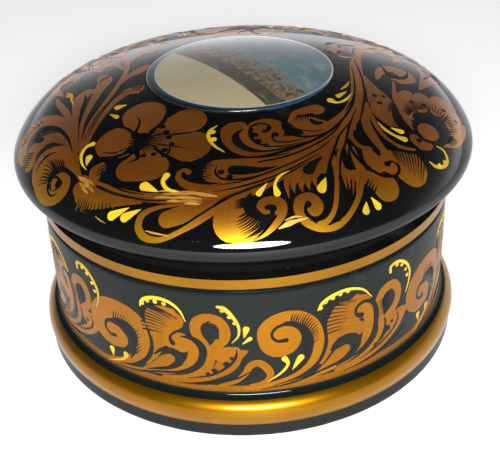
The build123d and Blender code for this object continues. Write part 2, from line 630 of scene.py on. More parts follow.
def main_stem() -> list[Stroke]:
    """The stem that sweeps round the front of the lid, with the black lines that part its leaves.

    Returns:
        The strokes.
    """
    return [
        gold((40, 17, 1.2), (38, 4, 2), (37.2, -8, 2.2), (36, -18, 2.2), (33.6, -27, 2.4), (30, -35, 3),
             (25.5, -42.5, 3.8), (19.5, -49, 4.2), (12, -55, 3.6), (3, -60, 3), (-6, -63, 2.4),
             (-14, -64, 1.9), (-22, -63.2, 1.6), (-30, -61, 1.3), (-38, -56.6, 1.3), (-44, -52, 1.2),
             (-47.5, -48.5, 1.1)),
        gold((36.5, -14, 0.9), (33.5, -24, 1), (29.8, -31, 1.3), (25, -36.5, 1.5), (20, -39, 1.2)),
        gold((24, -46, 2.6), (23, -52, 1.6), (22.8, -57, 0.7)),
        gold((30, -36, 1.6), (29.4, -44, 1.5), (27.6, -52, 1), (26, -58, 0.5)),
        line((36, -10, 0.1), (34.4, -22, 0.35), (30.3, -32, 0.4), (24.5, -40, 0.45), (16, -46.3, 0.5),
             (6, -50.5, 0.55), (-4, -50.8, 0.15)),
        line((31, -31, 0.1), (26.5, -39.5, 0.3), (20, -46, 0.3), (12, -50.8, 0.35), (4, -53, 0.3)),
        line((27, -41, 0.1), (21.5, -47.5, 0.25), (14, -53.2, 0.3), (6, -57.5, 0.35), (-1, -60.3, 0.3),
             (-8, -61.2, 0.1)),
        line((22, -49, 0.1), (15, -54.5, 0.3), (8, -58.8, 0.3), (-1, -62.2, 0.3), (-9, -63.3, 0.1)),
        line((19, -52.5, 0.1), (13, -57, 0.35), (7, -60.6, 0.4), (0.5, -63.4, 0.4), (-6, -66, 0.35),
             (-10, -68.5, 0.15)),
        line((32.6, -33, 0.1), (28.6, -40, 0.35), (26.6, -46, 0.4), (24.5, -53, 0.45), (23, -60, 0.3)),
        line((34.8, -26, 0.1), (31.6, -36, 0.35), (29.8, -44, 0.35), (28, -50, 0.35), (27.2, -57, 0.3),
             (27.5, -66, 0.5), (26.6, -71, 0.2)),
        line((38.2, 10, 0.1), (38.9, -4, 0.3), (38.5, -16, 0.3), (36.8, -26, 0.35), (35, -33, 0.12)),
        line((36.6, 4, 0.08), (36.2, -8, 0.25), (34.8, -19, 0.3), (31.6, -27.5, 0.15)),
        line((22.5, -50.5, 0.2), (19.9, -53.5, 1.15), (18.3, -56.2, 1.75), end=True),
        line((29.5, -46.5, 0.2), (29.2, -50.5, 1), (30.2, -53.6, 1.6), end=True),
    ]


def inner_leaves() -> list[Stroke]:
    """The curled leaves on the medallion side of the main stem.

    Returns:
        The strokes.
    """
    return [
        # hatched leaf under the medallion, with its round curl
        gold((27.5, -36.5, 1.6), (22.5, -36.4, 3.4), (18.2, -35.8, 4.3), (16.8, -34.6, 3.2), end=True),
        gold((15.4, -35, 1.7), (16.5, -31.4, 1.9), (19.2, -29, 1.7), (22.6, -27.9, 2.5), end=True),
        *comb([(21.5, -30.2), (16.5, -31.8)], [(20.6, -34.6), (14.6, -35.6)], 7, 0.24, bow=-0.08),
        line((20.6, -33.9, 0.7), (21.9, -35.2, 1), (23.2, -34.9, 0.7), end=True),
        line((24, -38.2, 0.1), (20, -39.3, 0.25), (15.8, -38.3, 0.3), (13.9, -35.4, 0.1)),
        line((12.5, -34.3, 0.4), (12.2, -37.6, 0.7), (14.2, -40.6, 0.75), (18, -42, 0.5), (23, -40.6, 0.3),
             (27, -37, 0.1)),
        # double crescent
        gold((-0.6, -36.8, 2.2), (-3, -38, 2.9), (-4.1, -41.2, 2.2), (-3.6, -44.6, 1.6), (-0.9, -48, 1.4),
             (4, -49.6, 0.95), (11, -48.8, 0.8), (18, -45.6, 0.8), (25, -41, 0.7)),
        gold((1.1, -37.6, 1), (0.4, -41, 1.3), (2, -44.9, 1.15), (6, -47, 0.8), (13, -45.8, 0.6),
             (20, -42.4, 0.5), (26, -38, 0.5)),
        gold((3.4, -36.4, 1.4), (6.6, -35.4, 1.8), (9.6, -36.2, 2.1), (10.4, -39, 2.1), (8.8, -41.8, 3.2),
             (11.5, -43.6, 2), (17, -42.4, 1.4), (24, -38.6, 0.9)),
        gold((5.2, -38.4, 1.8), (5.6, -41.5, 2.6), (7.6, -44, 1.9), (12, -44.6, 1)),
        line((0.2, -38.4, 0.2), (-1.9, -40.8, 0.75), (-2, -43.8, 1), (0.6, -47, 0.9), (5, -48.5, 0.5),
             (12, -47.3, 0.35), (20, -43.6, 0.15)),
        line((6.5, -39.6, 0.75), (8, -38.8, 0.45), (7.9, -36.9, 0.4), (5.4, -35.9, 0.4), (3, -37, 0.4),
             (2.4, -40, 0.35),
             (3.4, -43.6, 0.4), (6.6, -46.2, 0.4), (12, -46.3, 0.3), (18, -44, 0.1)),
        dot(3.6, -41.2, 1.1), dot(4.4, -44, 1.05), dot(6.7, -45.9, 0.8),
        line((9.6, -41.2, 1.1), (8.6, -42.2, 0.35), (9.6, -44.2, 0.35), (13, -44.6, 0.3), (19, -42.2, 0.1)),
        # long leaf with a hatched end
        gold((-7.6, -54, 2.8), (-2, -53.4, 2.2), (6, -53.1, 1.9), (13, -51.2, 1.6), (20, -47.5, 1.5)),
        gold((-8.6, -57, 2.9), (-4.4, -58.4, 2.3), (2, -58.4, 1.7), (9, -56, 1.6), (15, -52, 1.5)),
        line((-2.7, -55.8, 1.85), (0.2, -56, 1.8), (4.6, -56, 0.95), (9.5, -54.8, 0.12)),
        line((-7.5, -53.6, 0.12), (-8, -56.3, 0.35), (-6.2, -58.8, 0.4), (-2, -59.5, 0.4), (4, -58.4, 0.35),
             (10.5, -55, 0.12)),
        dot(-6.4, -56.2, 1), dot(-4, -58.3, 0.9),
        *comb([(-11.2, -51.6), (-12, -54.5), (-11.6, -59)], [(-7.6, -51.8), (-8.6, -54.5), (-8.4, -58.4)],
              9, 0.3),
        gold((-15.6, -55, 0.95), (-16.8, -53.9, 0.6), (-18.2, -54.8, 0.7), (-18.3, -57.3, 0.95),
             (-15.6, -60.2, 1.3), (-10.5, -61.8, 1.2), (-4, -61.4, 0.9)),
    ]


def outer_leaves() -> list[Stroke]:
    """The leaves on the rim side of the main stem, at the right of the front.

    Returns:
        The strokes.
    """
    return [
        gold((21.4, -50, 2.6), (20, -54, 3.2), (17.6, -57, 3.4), (16.2, -58.6, 2.6), end=True),
        gold((14.2, -56, 1.2), (11.8, -61, 0.85), (12.3, -66.2, 0.08)),
        gold((15.4, -58, 1.1), (13.6, -61.6, 0.8), (13.9, -64.6, 0.08)),
        gold((16.6, -59.4, 0.9), (15.8, -62, 0.7), (16.2, -64, 0.08)),
        gold((18, -59.6, 0.9), (17.8, -61.6, 0.6), (18.3, -63.3, 0.08)),
        gold((19.6, -59, 0.9), (19.8, -60.8, 0.5), (20.3, -62.2, 0.08)),
        # fringed leaf with its round lobe
        gold((28.6, -48, 1.5), (28, -52, 1.5), (28.6, -55.4, 2), (31.5, -56.6, 1.8), (36, -57, 2.6),
             (41, -58.7, 4.3), end=True),
        gold((31.6, -46, 0.8), (32.4, -51, 1.1), (33.6, -55, 1.4)),
        *comb([(27.4, -57), (34.4, -58)], [(28.6, -62), (33, -64)], 5, 0.5, Layer.GOLD),
        *comb([(34.4, -59.2), (37.2, -62.6)], [(35.4, -56.6), (38.4, -59.4)], 4, 0.34),
        gold((39.4, -44, 0.6), (34.6, -45, 0.7), (32, -41, 0.6), (32.6, -36, 0.5), (34.6, -30, 0.4)),
        # broad fan leaf
        gold((36.2, -47, 1.7), (37.6, -50, 2.9), (40.6, -51.4, 3.7), (42.5, -50.6, 4), end=True),
        gold((43.4, -48.4, 3.6), (47, -49.4, 5.2), (49.4, -50.2, 5.5), end=True),
        gold((50.6, -46.6, 2.6), (52.8, -48.6, 2.3), (52.6, -51.5, 2.2), end=True),
        line((41.6, -50.7, 0.95), (43, -49.4, 0.35), (45, -50.2, 0.45), (45.1, -52.6, 0.45),
             (43.2, -54.5, 0.45), (39.6, -55.2, 0.5),
             (35.6, -53.6, 0.55), (32.8, -50, 0.5), (31, -45, 0.45), (30.7, -40, 0.3), (32, -33, 0.1)),
        *comb([(43, -44.6), (46, -43.6), (50, -43.2), (54.8, -45)],
              [(44.4, -48.6), (47.4, -51), (51, -52.2), (53.8, -52.4)], 12, 0.27),
        # slim leaves above the fan
        gold((37, -18, 0.9), (37.2, -26, 1.3), (37.2, -34, 1.5), (38.6, -40, 1.6), (40.6, -44.4, 1.2),
             (41.6, -47, 1.6)),
        gold((38.4, -22, 0.5), (39.6, -31, 0.7), (41.6, -37.6, 0.7), (45, -41.6, 0.6), (48.6, -42.6, 0.6),
             (51.4, -42, 0.3)),
        gold((36, -22, 0.6), (35.2, -30, 0.8), (33.6, -37, 0.6)),
        line((35.6, -31, 0.15), (34.6, -36, 1), (36, -41.4, 1.5), (38.6, -44.8, 0.7), (40, -46, 0.15)),
        # dotted leaf
        gold((39.6, -4, 0.8), (41.4, -12, 2.1), (43, -18.4, 3.9), (43, -24, 3.2), (44.4, -29.6, 1.7),
             (47, -33, 0.15)),
        gold((41.4, -22, 1.6), (41, -26, 1.4), (43.2, -31, 0.7), (46, -34, 0.1)),
        dot(41.6, -16.6, 0.85), dot(42.8, -20.8, 0.85), dot(44.6, -16.2, 0.6),
        *comb([(46.4, -24), (46.8, -19)], [(44.4, -26.4), (45, -22)], 5, 0.2),
    ]


def pomegranate() -> list[Stroke]:
    """The flower at the right of the lid: a bud in a dark disc inside hatched petals.

    Returns:
        The strokes.
    """
    return [
        gold((56.7, -32.2, 3.5), (56.9, -31.6, 3.6), end=True),
        gold((51.6, -36.8, 1.6), (52.4, -39.2, 1.9), (55.8, -38.6, 1.6), (57.6, -37.4, 0.5)),
        dot(52.9, -37.6, 0.85),
        gold((51.6, -32.8, 0.2), (50.2, -27, 1.2), (50.4, -20, 2.2), (51.6, -14, 2.6), (53, -11, 1.8),
             end=True),
        gold((49, -24, 0.3), (48.2, -17, 0.7), (49, -9, 0.6), (49.4, -4, 0.3)),
        gold((56, -19.8, 2.2), (56.8, -15, 3), (57.6, -11.4, 2.4), end=True),
        gold((61.2, -19.2, 2.2), (63.2, -14.8, 4), (64.4, -12.2, 4), end=True),
        *comb([(50.6, -30), (49.6, -22), (55, -14), (63, -13), (70.4, -19), (70.4, -27)],
              [(52.6, -30), (53, -23.6), (57, -19.6), (61.8, -19.6), (65.6, -24), (64.8, -30)], 34, 0.42,
              Layer.GOLD),
        gold((62, -35.6, 0.2), (66.8, -31.4, 1.3), (69.6, -26.4, 1.9), (71.4, -21, 2.2), (74, -16.6, 0.3)),
        gold((66, -23.6, 2), (68.6, -19, 2.9), (70, -15.8, 2.4), end=True),
        *comb([(51.2, -25.6), (53.2, -21.6), (58, -18.8), (64, -21), (66.6, -26)],
              [(49.6, -23.4), (51, -17), (57.6, -13.6), (66.6, -17.4), (69.8, -24)], 30, 0.22),
        *comb([(65.6, -28.6), (63.6, -33)], [(69.4, -28.4), (66.4, -33)], 6, 0.24),
        dot(53.6, -16.4, 0.8), dot(57.6, -17, 0.8), dot(64.6, -16.2, 0.8), dot(69, -18.8, 0.8),
        gold((44, -4, 0.6), (46.4, 3, 1.8), (50, 6.5, 2.6), (54, 4.5, 3), (55, 0, 2.6), (52.6, -2.8, 1.6),
             (49, -2, 0.6)),
        line((47, 9, 0.15), (48.4, 2, 0.7), (51.4, -0.4, 1.1), (54.4, 1.6, 0.8), (56, 7, 0.15)),
        gold((58, -6, 0.4), (61.4, 1, 2.2), (64, 8, 3.4), (64, 14, 3.2), (60.8, 17, 2), end=True),
        line((61, 3, 0.15), (63.6, 9, 0.9), (62.6, 13, 0.9), end=True),
        *comb([(67.4, 5), (67.6, 14)], [(64.6, 6), (64.8, 13)], 8, 0.26),
    ]


def left_scroll() -> list[Stroke]:
    """The hatched scroll and the leaves round it at the left of the lid.

    Returns:
        The strokes.
    """
    return [
        gold((-47.4, -50, 0.6), (-49.6, -44.6, 1.1), (-53.4, -38.6, 2.4), (-58.8, -36.8, 3.5),
             (-63.2, -40, 3.6),
             (-63, -46, 2.7), (-59.6, -49.6, 2.2), (-55.2, -49.8, 2), (-53, -47.2, 1.5), (-54.8, -44.2, 1.2),
             (-57.6, -44.4, 1.2), (-58.2, -46.4, 1), end=True),
        line((-56.6, -46.4, 0.95), (-55.8, -44.8, 0.4), (-58, -43, 0.5), (-60.6, -45, 0.45),
             (-60, -48.4, 0.3), (-57, -49.4, 0.1)),
        *comb([(-53.6, -41.6), (-57.6, -40.4), (-61.4, -43.4)],
              [(-54.4, -36.8), (-60.8, -34.6), (-66, -42)], 13, 0.27, bow=-0.08),
        gold((-48.6, -46, 0.6), (-50.8, -38, 1.1), (-55.6, -32.6, 1.3), (-61, -31.2, 1.1),
             (-65, -33.8, 1.1), (-66.6, -38, 0.8), (-66.6, -43, 0.2)),
        gold((-49.4, -42, 0.6), (-51.8, -33, 1.3), (-56.4, -26.6, 2.2), (-62, -24.6, 2.6),
             (-67.4, -27, 3.6), (-68, -30.4, 2.8), end=True),
        gold((-50.4, -36, 0.5), (-54, -24, 1.3), (-59, -15.4, 2.4), (-65.6, -12.4, 3.2), (-71, -16, 3.4),
             (-72.4, -22, 2.6), (-71, -27, 1.8), end=True),
        line((-63.2, -23.4, 1.1), (-65.4, -22, 0.7), (-65, -19.2, 0.8), (-61.4, -18.4, 0.9),
             (-57.4, -21.4, 0.8), (-53.6, -28, 0.5), (-51.2, -36, 0.15)),
        *comb([(-66, -27), (-70, -31)], [(-70.6, -23.6), (-73, -28)], 7, 0.26),
        *comb([(-63.4, -13.4), (-68, -14.6), (-70.6, -18)], [(-64.6, -9.8), (-72, -11.6), (-74.4, -18)], 8,
              0.26),
    ]


def left_fan() -> list[Stroke]:
    """The slim leaves that rise past the flower at the left.

    Returns:
        The strokes.
    """
    return [
        gold((-50, -38, 0.5), (-52.4, -24, 0.9), (-56, -12, 1.2), (-59.4, -4, 1), (-60.8, 1, 0.15)),
        gold((-49.6, -37, 0.5), (-51.4, -22, 0.9), (-52.4, -11, 1.6), (-51.4, -4, 2.6), (-49.8, -1.6, 2.4),
             end=True),
        gold((-49.2, -36, 0.5), (-49.2, -22, 0.8), (-47.6, -12, 1.2), (-45.6, -2, 2), (-44.4, 4, 2.6),
             (-45.4, 8, 2.2), end=True),
        gold((-48.6, -40, 0.6), (-46.6, -25, 0.9), (-42.6, -13, 0.9), (-39.4, -2, 0.9), (-37.6, 8, 0.9),
             (-38.4, 20, 0.9), (-41, 30, 0.4)),
        gold((-48.2, -40, 0.5), (-44.6, -26, 0.7), (-40, -14.6, 1.2), (-36, -9, 1.9), (-32.8, -8, 2.6),
             end=True),
        gold((-39.6, -3, 0.5), (-36.4, 3, 1.2), (-33.4, 6, 2.2), (-31, 8.4, 2.2), end=True),
        gold((-38.2, 10, 0.5), (-42.4, 18, 1.4), (-46.6, 21, 2.6), (-48, 17.6, 2.2), end=True),
        gold((-38.4, 14, 0.5), (-36, 21, 1.2), (-33, 25, 2.4), (-30.6, 25.6, 2.2), end=True),
        line((-49.6, -32, 0.08), (-50.6, -18, 0.25), (-50, -6, 0.4), (-50.4, -3, 0.1)),
        line((-47.8, -32, 0.08), (-44.4, -19, 0.25), (-38.6, -9.6, 0.3), (-34, -8, 0.1)),
        *comb([(-34.8, -5.2), (-30.8, -6)], [(-34, -8.6), (-31.8, -9.4)], 5, 0.22),
        *comb([(-47, 5.5), (-43, 9.4)], [(-46, 2.6), (-43.4, 5.6)], 6, 0.22),
        gold((-59, 2, 0.3), (-62, 8, 2.2), (-60, 14, 3.2), (-56, 15, 2.4), end=True),
        line((-60.6, 8, 0.12), (-60, 12, 0.7), (-57.6, 13, 0.7), end=True),
    ]


def front_left() -> list[Stroke]:
    """The loop leaf, the fringed leaf and the pale dashes at the front left.

    Returns:
        The strokes.
    """
    return [
        gold((-12, -66.2, 0.4), (-18, -66, 0.4), (-25, -65.7, 0.6), (-29.4, -66.7, 0.9),
             (-31.2, -69.8, 1.15), (-30, -72.8, 1.15),
             (-26, -74.6, 0.8), (-21, -74.2, 0.7), (-14, -71.8, 1), (-8.6, -69.2, 1), (-3, -66.4, 0.9),
             (4, -63.6, 0.8), (11, -59, 0.7)),
        gold((-22.4, -69.6, 2.4), (-18.6, -69.1, 2.6), (-14, -68, 1.9), (-9.6, -66.6, 1.1), (-2, -64, 0.8)),
        line((-27.6, -72.6, 0.1), (-24, -73.4, 0.35), (-19, -72.6, 0.35), (-13, -70, 0.35), (-8, -67.6, 0.1)),
        pale((-29.2, -71.3, 0.1), (-27, -72.4, 0.3), (-22.4, -74.2, 0.1)),
        gold((-30, -62, 1.3), (-37, -59.8, 2.2), (-42.4, -57.4, 3.4), (-46.8, -54.6, 3.9),
             (-48.4, -52, 2.6), end=True),
        *comb([(-48.6, -53.4), (-44, -57), (-37, -60.4)], [(-51.8, -58.2), (-47.4, -60), (-37.6, -62.6)],
              13, 0.5, Layer.GOLD),
        *comb([(-51.6, -57), (-47, -61), (-38.4, -63.4)], [(-48.6, -54.4), (-45, -57), (-38.6, -59.8)], 12,
              0.3),
        line((-42.6, -53.6, 0.5), (-38, -57.4, 0.4), (-32.6, -60.6, 0.35), (-26, -63.2, 0.3),
             (-18, -64.6, 0.1)),
        line((-38.4, -54.6, 0.35), (-34, -58.2, 0.3), (-28.4, -60.8, 0.1)),
        gold((-43.4, -50.4, 1.6), (-43, -47.8, 2.1), (-41.4, -46.2, 1.2), end=True),
        *comb([(-40, -45.8), (-40.6, -50)], [(-43.4, -46.8), (-43.2, -50)], 6, 0.24),
        *(pale((x, y, 0.1), (x + 2.4 * s, y - 0.35 * s, 0.42), (x + 5 * s, y - 1.0 * s, 0.1)) for x, y, s in (
            (-24, -60.6, 1.1), (-23, -61.8, 1.5), (-25.6, -62.4, 1.1), (-19, -61.9, 1.3), (-21, -63.4, 1.8),
            (-16, -62.9, 1.4), (-18.6, -64.8, 1.3), (-17, -65.9, 0.9), (-13, -63.8, 1.1), (-22, -64.2, 0.9),
        )),
        *(pale((x, y, 0.15), (x + 0.9, y - 1.3, 0.55), (x + 1.7, y - 2.6, 0.12)) for x, y in (
            (-48.6, -47.6), (-47.2, -48.6), (-48.4, -50), (-46.8, -50.6), (-45.6, -50), (-47.6, -52),
            (-45.6, -52.4),
        )),
        pale((-44.4, -62.4, 0.08), (-43, -64.2, 0.2), (-41.4, -65.6, 0.06)),
    ]


def lid_accents() -> list[Stroke]:
    """The yellow drops, commas and crested arcs between the leaves.

    Returns:
        The strokes.
    """
    made = [drop(*spot) for spot in (
        (-28.2, -58, -24.2, -60.8, 1.5), (-39, -64.2, -33.2, -63.6, 1.35), (-35, -66, -29.6, -65, 1.35),
        (-45.5, -41.2, -46.2, -44.4, 1.1), (-38.2, -17.8, -35.4, -17.4, 1.1),
        (-38.2, -23.4, -40.6, -20.8, 0.85),
        (3.9, -64.8, 6.4, -61.2, 0.85), (21.6, -62.6, 23, -58.6, 1.4), (38.6, -65, 36.2, -63, 1.15),
        (34.9, -67.2, 34.8, -64.6, 1.15), (47.6, -35, 44.6, -33.8, 1), (30, -19.4, 33, -16, 0.9),
        (-56.4, 0.6, -54.4, -3, 1.2),
    )]
    made += [
        yellow((-21.8, -55.2, 0.95), (-22.9, -57.6, 0.6), (-21.4, -60.6, 0.55), (-17, -62.4, 0.12)),
        yellow((-44.9, -35, 0.9), (-46.6, -35.6, 0.5), (-48, -38.6, 0.5), (-47.6, -43, 0.35),
               (-46.2, -46, 0.08)),
        yellow((-7.2, -35.8, 0.12), (-9.3, -38, 0.5), (-9.8, -41, 0.55), (-8.2, -45, 0.4),
               (-5.2, -48.2, 0.1)),
        dot(-8.6, -38.7, 0.85, Layer.YELLOW), dot(-8.3, -42.1, 0.85, Layer.YELLOW),
        yellow((9, -64.7, 1), (8.5, -61.8, 0.4), (10, -58.6, 0.4), (12.8, -56.6, 0.08)),
        yellow((48.1, -38.6, 1.1), (45.6, -37.6, 0.5), (42.6, -35, 0.5), (40.8, -31.8, 0.1)),
        yellow((27.3, -22.4, 1.15), (29.2, -23.4, 0.4), (32, -21.4, 0.45), (34.6, -16.6, 0.1)),
        yellow((56, -44.6, 0.1), (58.4, -45.2, 0.5), (61.6, -43.6, 0.55), (63.4, -40.6, 0.5),
               (62, -37.4, 0.35), (59, -37, 0.1)),
        dot(60, -44.1, 0.75, Layer.YELLOW), dot(62.2, -41.6, 0.7, Layer.YELLOW),
        yellow((-57.6, 3, 0.3), (-56, 1, 0.4), (-55, -4, 0.35), (-53.6, -9, 0.08)),
        yellow((34.4, -9, 0.12), (33, -12.6, 0.45), (31.2, -15, 0.12)),
    ]
    return made


def spare_leaf(size: float) -> list[Stroke]:
    """A curled leaf rising from the origin along +Y, for the parts of the lid away from the front.

    Args:
        size: its scale, 1 for full size.

    Returns:
        The strokes.
    """
    k = size
    return [
        gold((0, 0, 0.5 * k), (-1.6 * k, 5 * k, 1.0 * k), (-1.2 * k, 10 * k, 2.2 * k),
             (1.6 * k, 13.4 * k, 2.8 * k), (5 * k, 12.6 * k, 2.4 * k), (5.6 * k, 9.8 * k, 1.6 * k), end=True),
        line((4 * k, 10.6 * k, 0.8 * k), (2.4 * k, 9.8 * k, 0.4 * k), (0.9 * k, 11 * k, 0.4 * k),
             (-0.6 * k, 8 * k, 0.25 * k), (-0.4 * k, 3 * k, 0.08)),
        *comb([(-3.6 * k, 9 * k), (-2.4 * k, 14.6 * k), (2 * k, 16.6 * k)],
              [(-1.2 * k, 9.6 * k), (-0.4 * k, 12.6 * k), (2 * k, 13.8 * k)], 8, 0.26 * k),
        gold((0.4 * k, -1 * k, 0.4 * k), (3 * k, 3 * k, 0.9 * k), (7 * k, 5.2 * k, 1.5 * k),
             (9.6 * k, 4.2 * k, 1.4 * k), end=True),
        line((2 * k, 2.4 * k, 0.1), (5.6 * k, 4.8 * k, 0.3 * k), (8 * k, 4.6 * k, 0.4 * k)),
    ]


def rear_garland() -> list[Stroke]:
    """The painting on the far side of the lid: two stems, spare leaves and a second flower.

    Returns:
        The strokes.
    """
    made = [
        gold((40, 15, 1.2), (42.6, 28, 1.4), (42, 42, 1.5), (36, 54, 1.4), (26, 63, 1.2), (14, 67.4, 1),
             (4, 66, 0.5)),
        gold((-41, 28, 0.6), (-40, 42, 1.1), (-33, 54, 1.2), (-23, 62, 1.1), (-12, 66, 0.9), (-4, 66, 0.4)),
    ]
    for x, y, turn, size, flip in (
        (40.4, 12, 70, 0.75, False), (42.6, 26, 95, 0.8, True), (42.6, 24, -60, 1.25, False),
        (42, 38, -80, 1.2, False),
        (40.4, 45, 105, 0.85, False), (36.6, 53, -45, 1.15, True), (30, 60, 140, 1, False),
        (22, 65, -20, 0.9, True),
        (-40.6, 34, 70, 1.25, True), (-38.4, 45, 60, 1.3, False), (-39.6, 40, -80, 0.9, True),
        (-32.6, 54, 35, 1.15, False),
        (-27, 59, -130, 0.95, False), (-20, 63.4, 25, 0.9, True), (-41, 27, 100, 1.1, False),
        (-12, 65.6, 200, 0.8, True),
        (-58, 22, 60, 0.9, False), (64, 22, -30, 1, True), (60, 36, -20, 1, False), (-58, 38, 20, 1, True),
    ):
        made += [stroke.moved(turn, (x, y), flip) for stroke in spare_leaf(size)]
    flower = [stroke.moved(0, (28.5, 39.5)) for stroke in five_petal_flower()]
    made += [stroke.moved(150, (4, 50)) for stroke in flower]
    for x, y, tip_x, tip_y in (
        (14, 40, 16, 37), (-18, 44, -15.5, 41.5), (-27, 36, -25, 33), (26, 48, 24, 45.5), (50, 30, 47.5, 28),
        (-50, 52, -48, 49.5), (50, 54, 48, 51), (8, 74, 6, 71.4), (-8, 73, -6, 70.6), (-66, 30, -63.6, 28.6),
    ):
        made.append(drop(x, y, tip_x, tip_y, 1.2))
    return made


# ---------------------------------------------------------------- the wall's frieze


def frieze_high() -> list[Stroke]:
    """One unit of the frieze, with its scroll set high: (degrees, height, half width).

    Returns:
        The strokes.
    """
    return [
        gold((-2, 15.8, 0.8), (5, 17, 1), (11, 19, 1.2), (15, 22.6, 1.4), (16.9, 27.4, 1.6),
             (17.1, 32.4, 1.7), (15.5, 37.6, 1.9),
             (12.2, 41.1, 2), (8.6, 42, 1.8), (5.2, 40.4, 2), (3.2, 37.6, 2), (2.9, 34.4, 1.8), end=True),
        dot(7.1, 33.6, 6.4, Layer.GOLD),
        line((11.4, 21, 0.2), (13.6, 24.6, 0.8), (14.1, 29, 1.15), (13.8, 33.4, 1.3), (12.3, 37.2, 1.05),
             (9.4, 39, 0.65), (6.4, 38.4, 0.5),
             (5, 35.9, 0.45), (6.2, 33.4, 0.5), (8.6, 33.2, 0.8), end=True),
        *comb([(14.6, 28.6), (14.6, 34), (12.8, 38.6), (9.6, 40)],
              [(17.2, 31), (17, 37), (14.4, 42), (10.4, 43)], 16, 0.26, bow=0.06),
        line((5, 16.4, 0.1), (12, 18.6, 0.4), (17, 22.6, 0.55), (19, 28, 0.6), (19, 34, 0.4),
             (18.2, 38, 0.12)),
        line((2, 15.4, 0.1), (11, 16.8, 0.35), (19, 19.4, 0.35), (26, 21.6, 0.12)),
        # broad leaf
        gold((22.2, 33, 3.4), (23.4, 36.6, 4.8), (26, 38.6, 5.6), (28.6, 38.4, 4.6), end=True),
        gold((30.4, 38, 2.6), (31.8, 33.6, 1.9), (31.6, 28.4, 1.8), (30, 24, 1.4), (26, 20.6, 1.1),
             (19, 18.4, 0.8), (10, 16.6, 0.5)),
        gold((21, 34, 2), (20.8, 30.6, 2), (20, 26.4, 1.2), (17.6, 21.6, 0.7)),
        gold((26, 31.6, 3.8), (28.6, 30.6, 2.6), end=True),
        *comb([(18.8, 31.6), (18.4, 37), (18.8, 42.4), (21, 44)],
              [(23.8, 32), (25, 36.4), (26, 40.4), (28, 41.6)], 11, 0.27, bow=0.05),
        line((29.3, 35.2, 1.05), (27.7, 36.4, 0.5), (27.9, 38.7, 0.55), (30.2, 39.9, 0.6),
             (32.8, 38.4, 0.8), (34.2, 34.6, 0.95),
             (34.3, 30, 0.9), (33, 25.6, 0.75), (29.6, 22, 0.55), (22, 19, 0.2)),
        line((20.6, 25.8, 0.4), (22, 28, 0.85), (24.6, 29, 1.15), (27.6, 27.8, 1.25), (28.6, 25, 1.1),
             (27.4, 22.4, 0.8), (24, 20.4, 0.4), (18, 18.8, 0.1)),
        gold((24.6, 24.4, 1.8), (22.6, 23.2, 2.3), (20.4, 21.4, 1.4), (16.4, 18.6, 0.3)),
        # loop leaf
        gold((22, 17.4, 0.6), (30, 19.4, 0.8), (34.6, 22.8, 1), (36.2, 27, 1.2), (35.6, 32, 1.4),
             (34.9, 37, 1.5), (36.6, 40.6, 1.6),
             (39.8, 41.2, 1.6), (42, 38, 1.5), (41.8, 34, 1.4), (39.8, 31.2, 1.5), (37.6, 29.6, 1.4)),
        *comb([(38.6, 38.8), (39, 32.8)], [(34.8, 37.4), (35.6, 31)], 8, 0.32),
        # low leaf with dots
        gold((24, 16.6, 0.5), (33, 18.6, 0.9), (38.4, 21.6, 1.7), (42, 25.2, 2.5), (44.4, 27.8, 1.9),
             (47.6, 29.2, 0.2)),
        gold((39.4, 27.6, 1.8), (41.8, 28.8, 1.7), (44, 29.2, 1.2), end=True),
        line((42.2, 29.4, 0.1), (42.6, 26.6, 0.4), (40.8, 23.6, 0.4), (36, 20.6, 0.35), (29, 18.4, 0.1)),
        dot(38.7, 24.8, 1), dot(36.4, 22.8, 0.85), dot(34.3, 21.2, 0.7), dot(40.2, 26.8, 0.6),
        line((24, 16.2, 0.08), (33, 17, 0.35), (42, 19.4, 0.35), (46, 22, 0.1)),
        # crests and drops
        yellow((16.9, 42, 0.15), (18, 44.2, 0.55), (20.6, 45.9, 0.6), (25, 46.6, 0.5), (29.6, 44.6, 0.35),
               (32.6, 40.4, 0.1)),
        *(dot(x, y, 0.62, Layer.YELLOW) for x, y in ((17.6, 42.6), (18.9, 44.3), (20.9, 45.1), (23, 45.7),
            (25.2, 45.9))),
        yellow((38.8, 46, 0.5), (38.9, 48, 0.5), (41.6, 48.4, 0.55), (44.8, 46, 0.5), (46.8, 42, 0.45),
               (46.6, 38, 0.3), (45.4, 34.6, 0.08)),
        *(dot(x, y, 0.6, Layer.YELLOW) for x, y in ((41.2, 47.4), (43.2, 46.2), (44.9, 43.6), (45.7, 41))),
        yellow((8.1, 26.4, 0.95), (9, 24.4, 0.5), (7.4, 21.4, 0.4), (3.6, 18.2, 0.08)),
        drop(12.3, 25.8, 10, 21.6, 1.15),
    ]


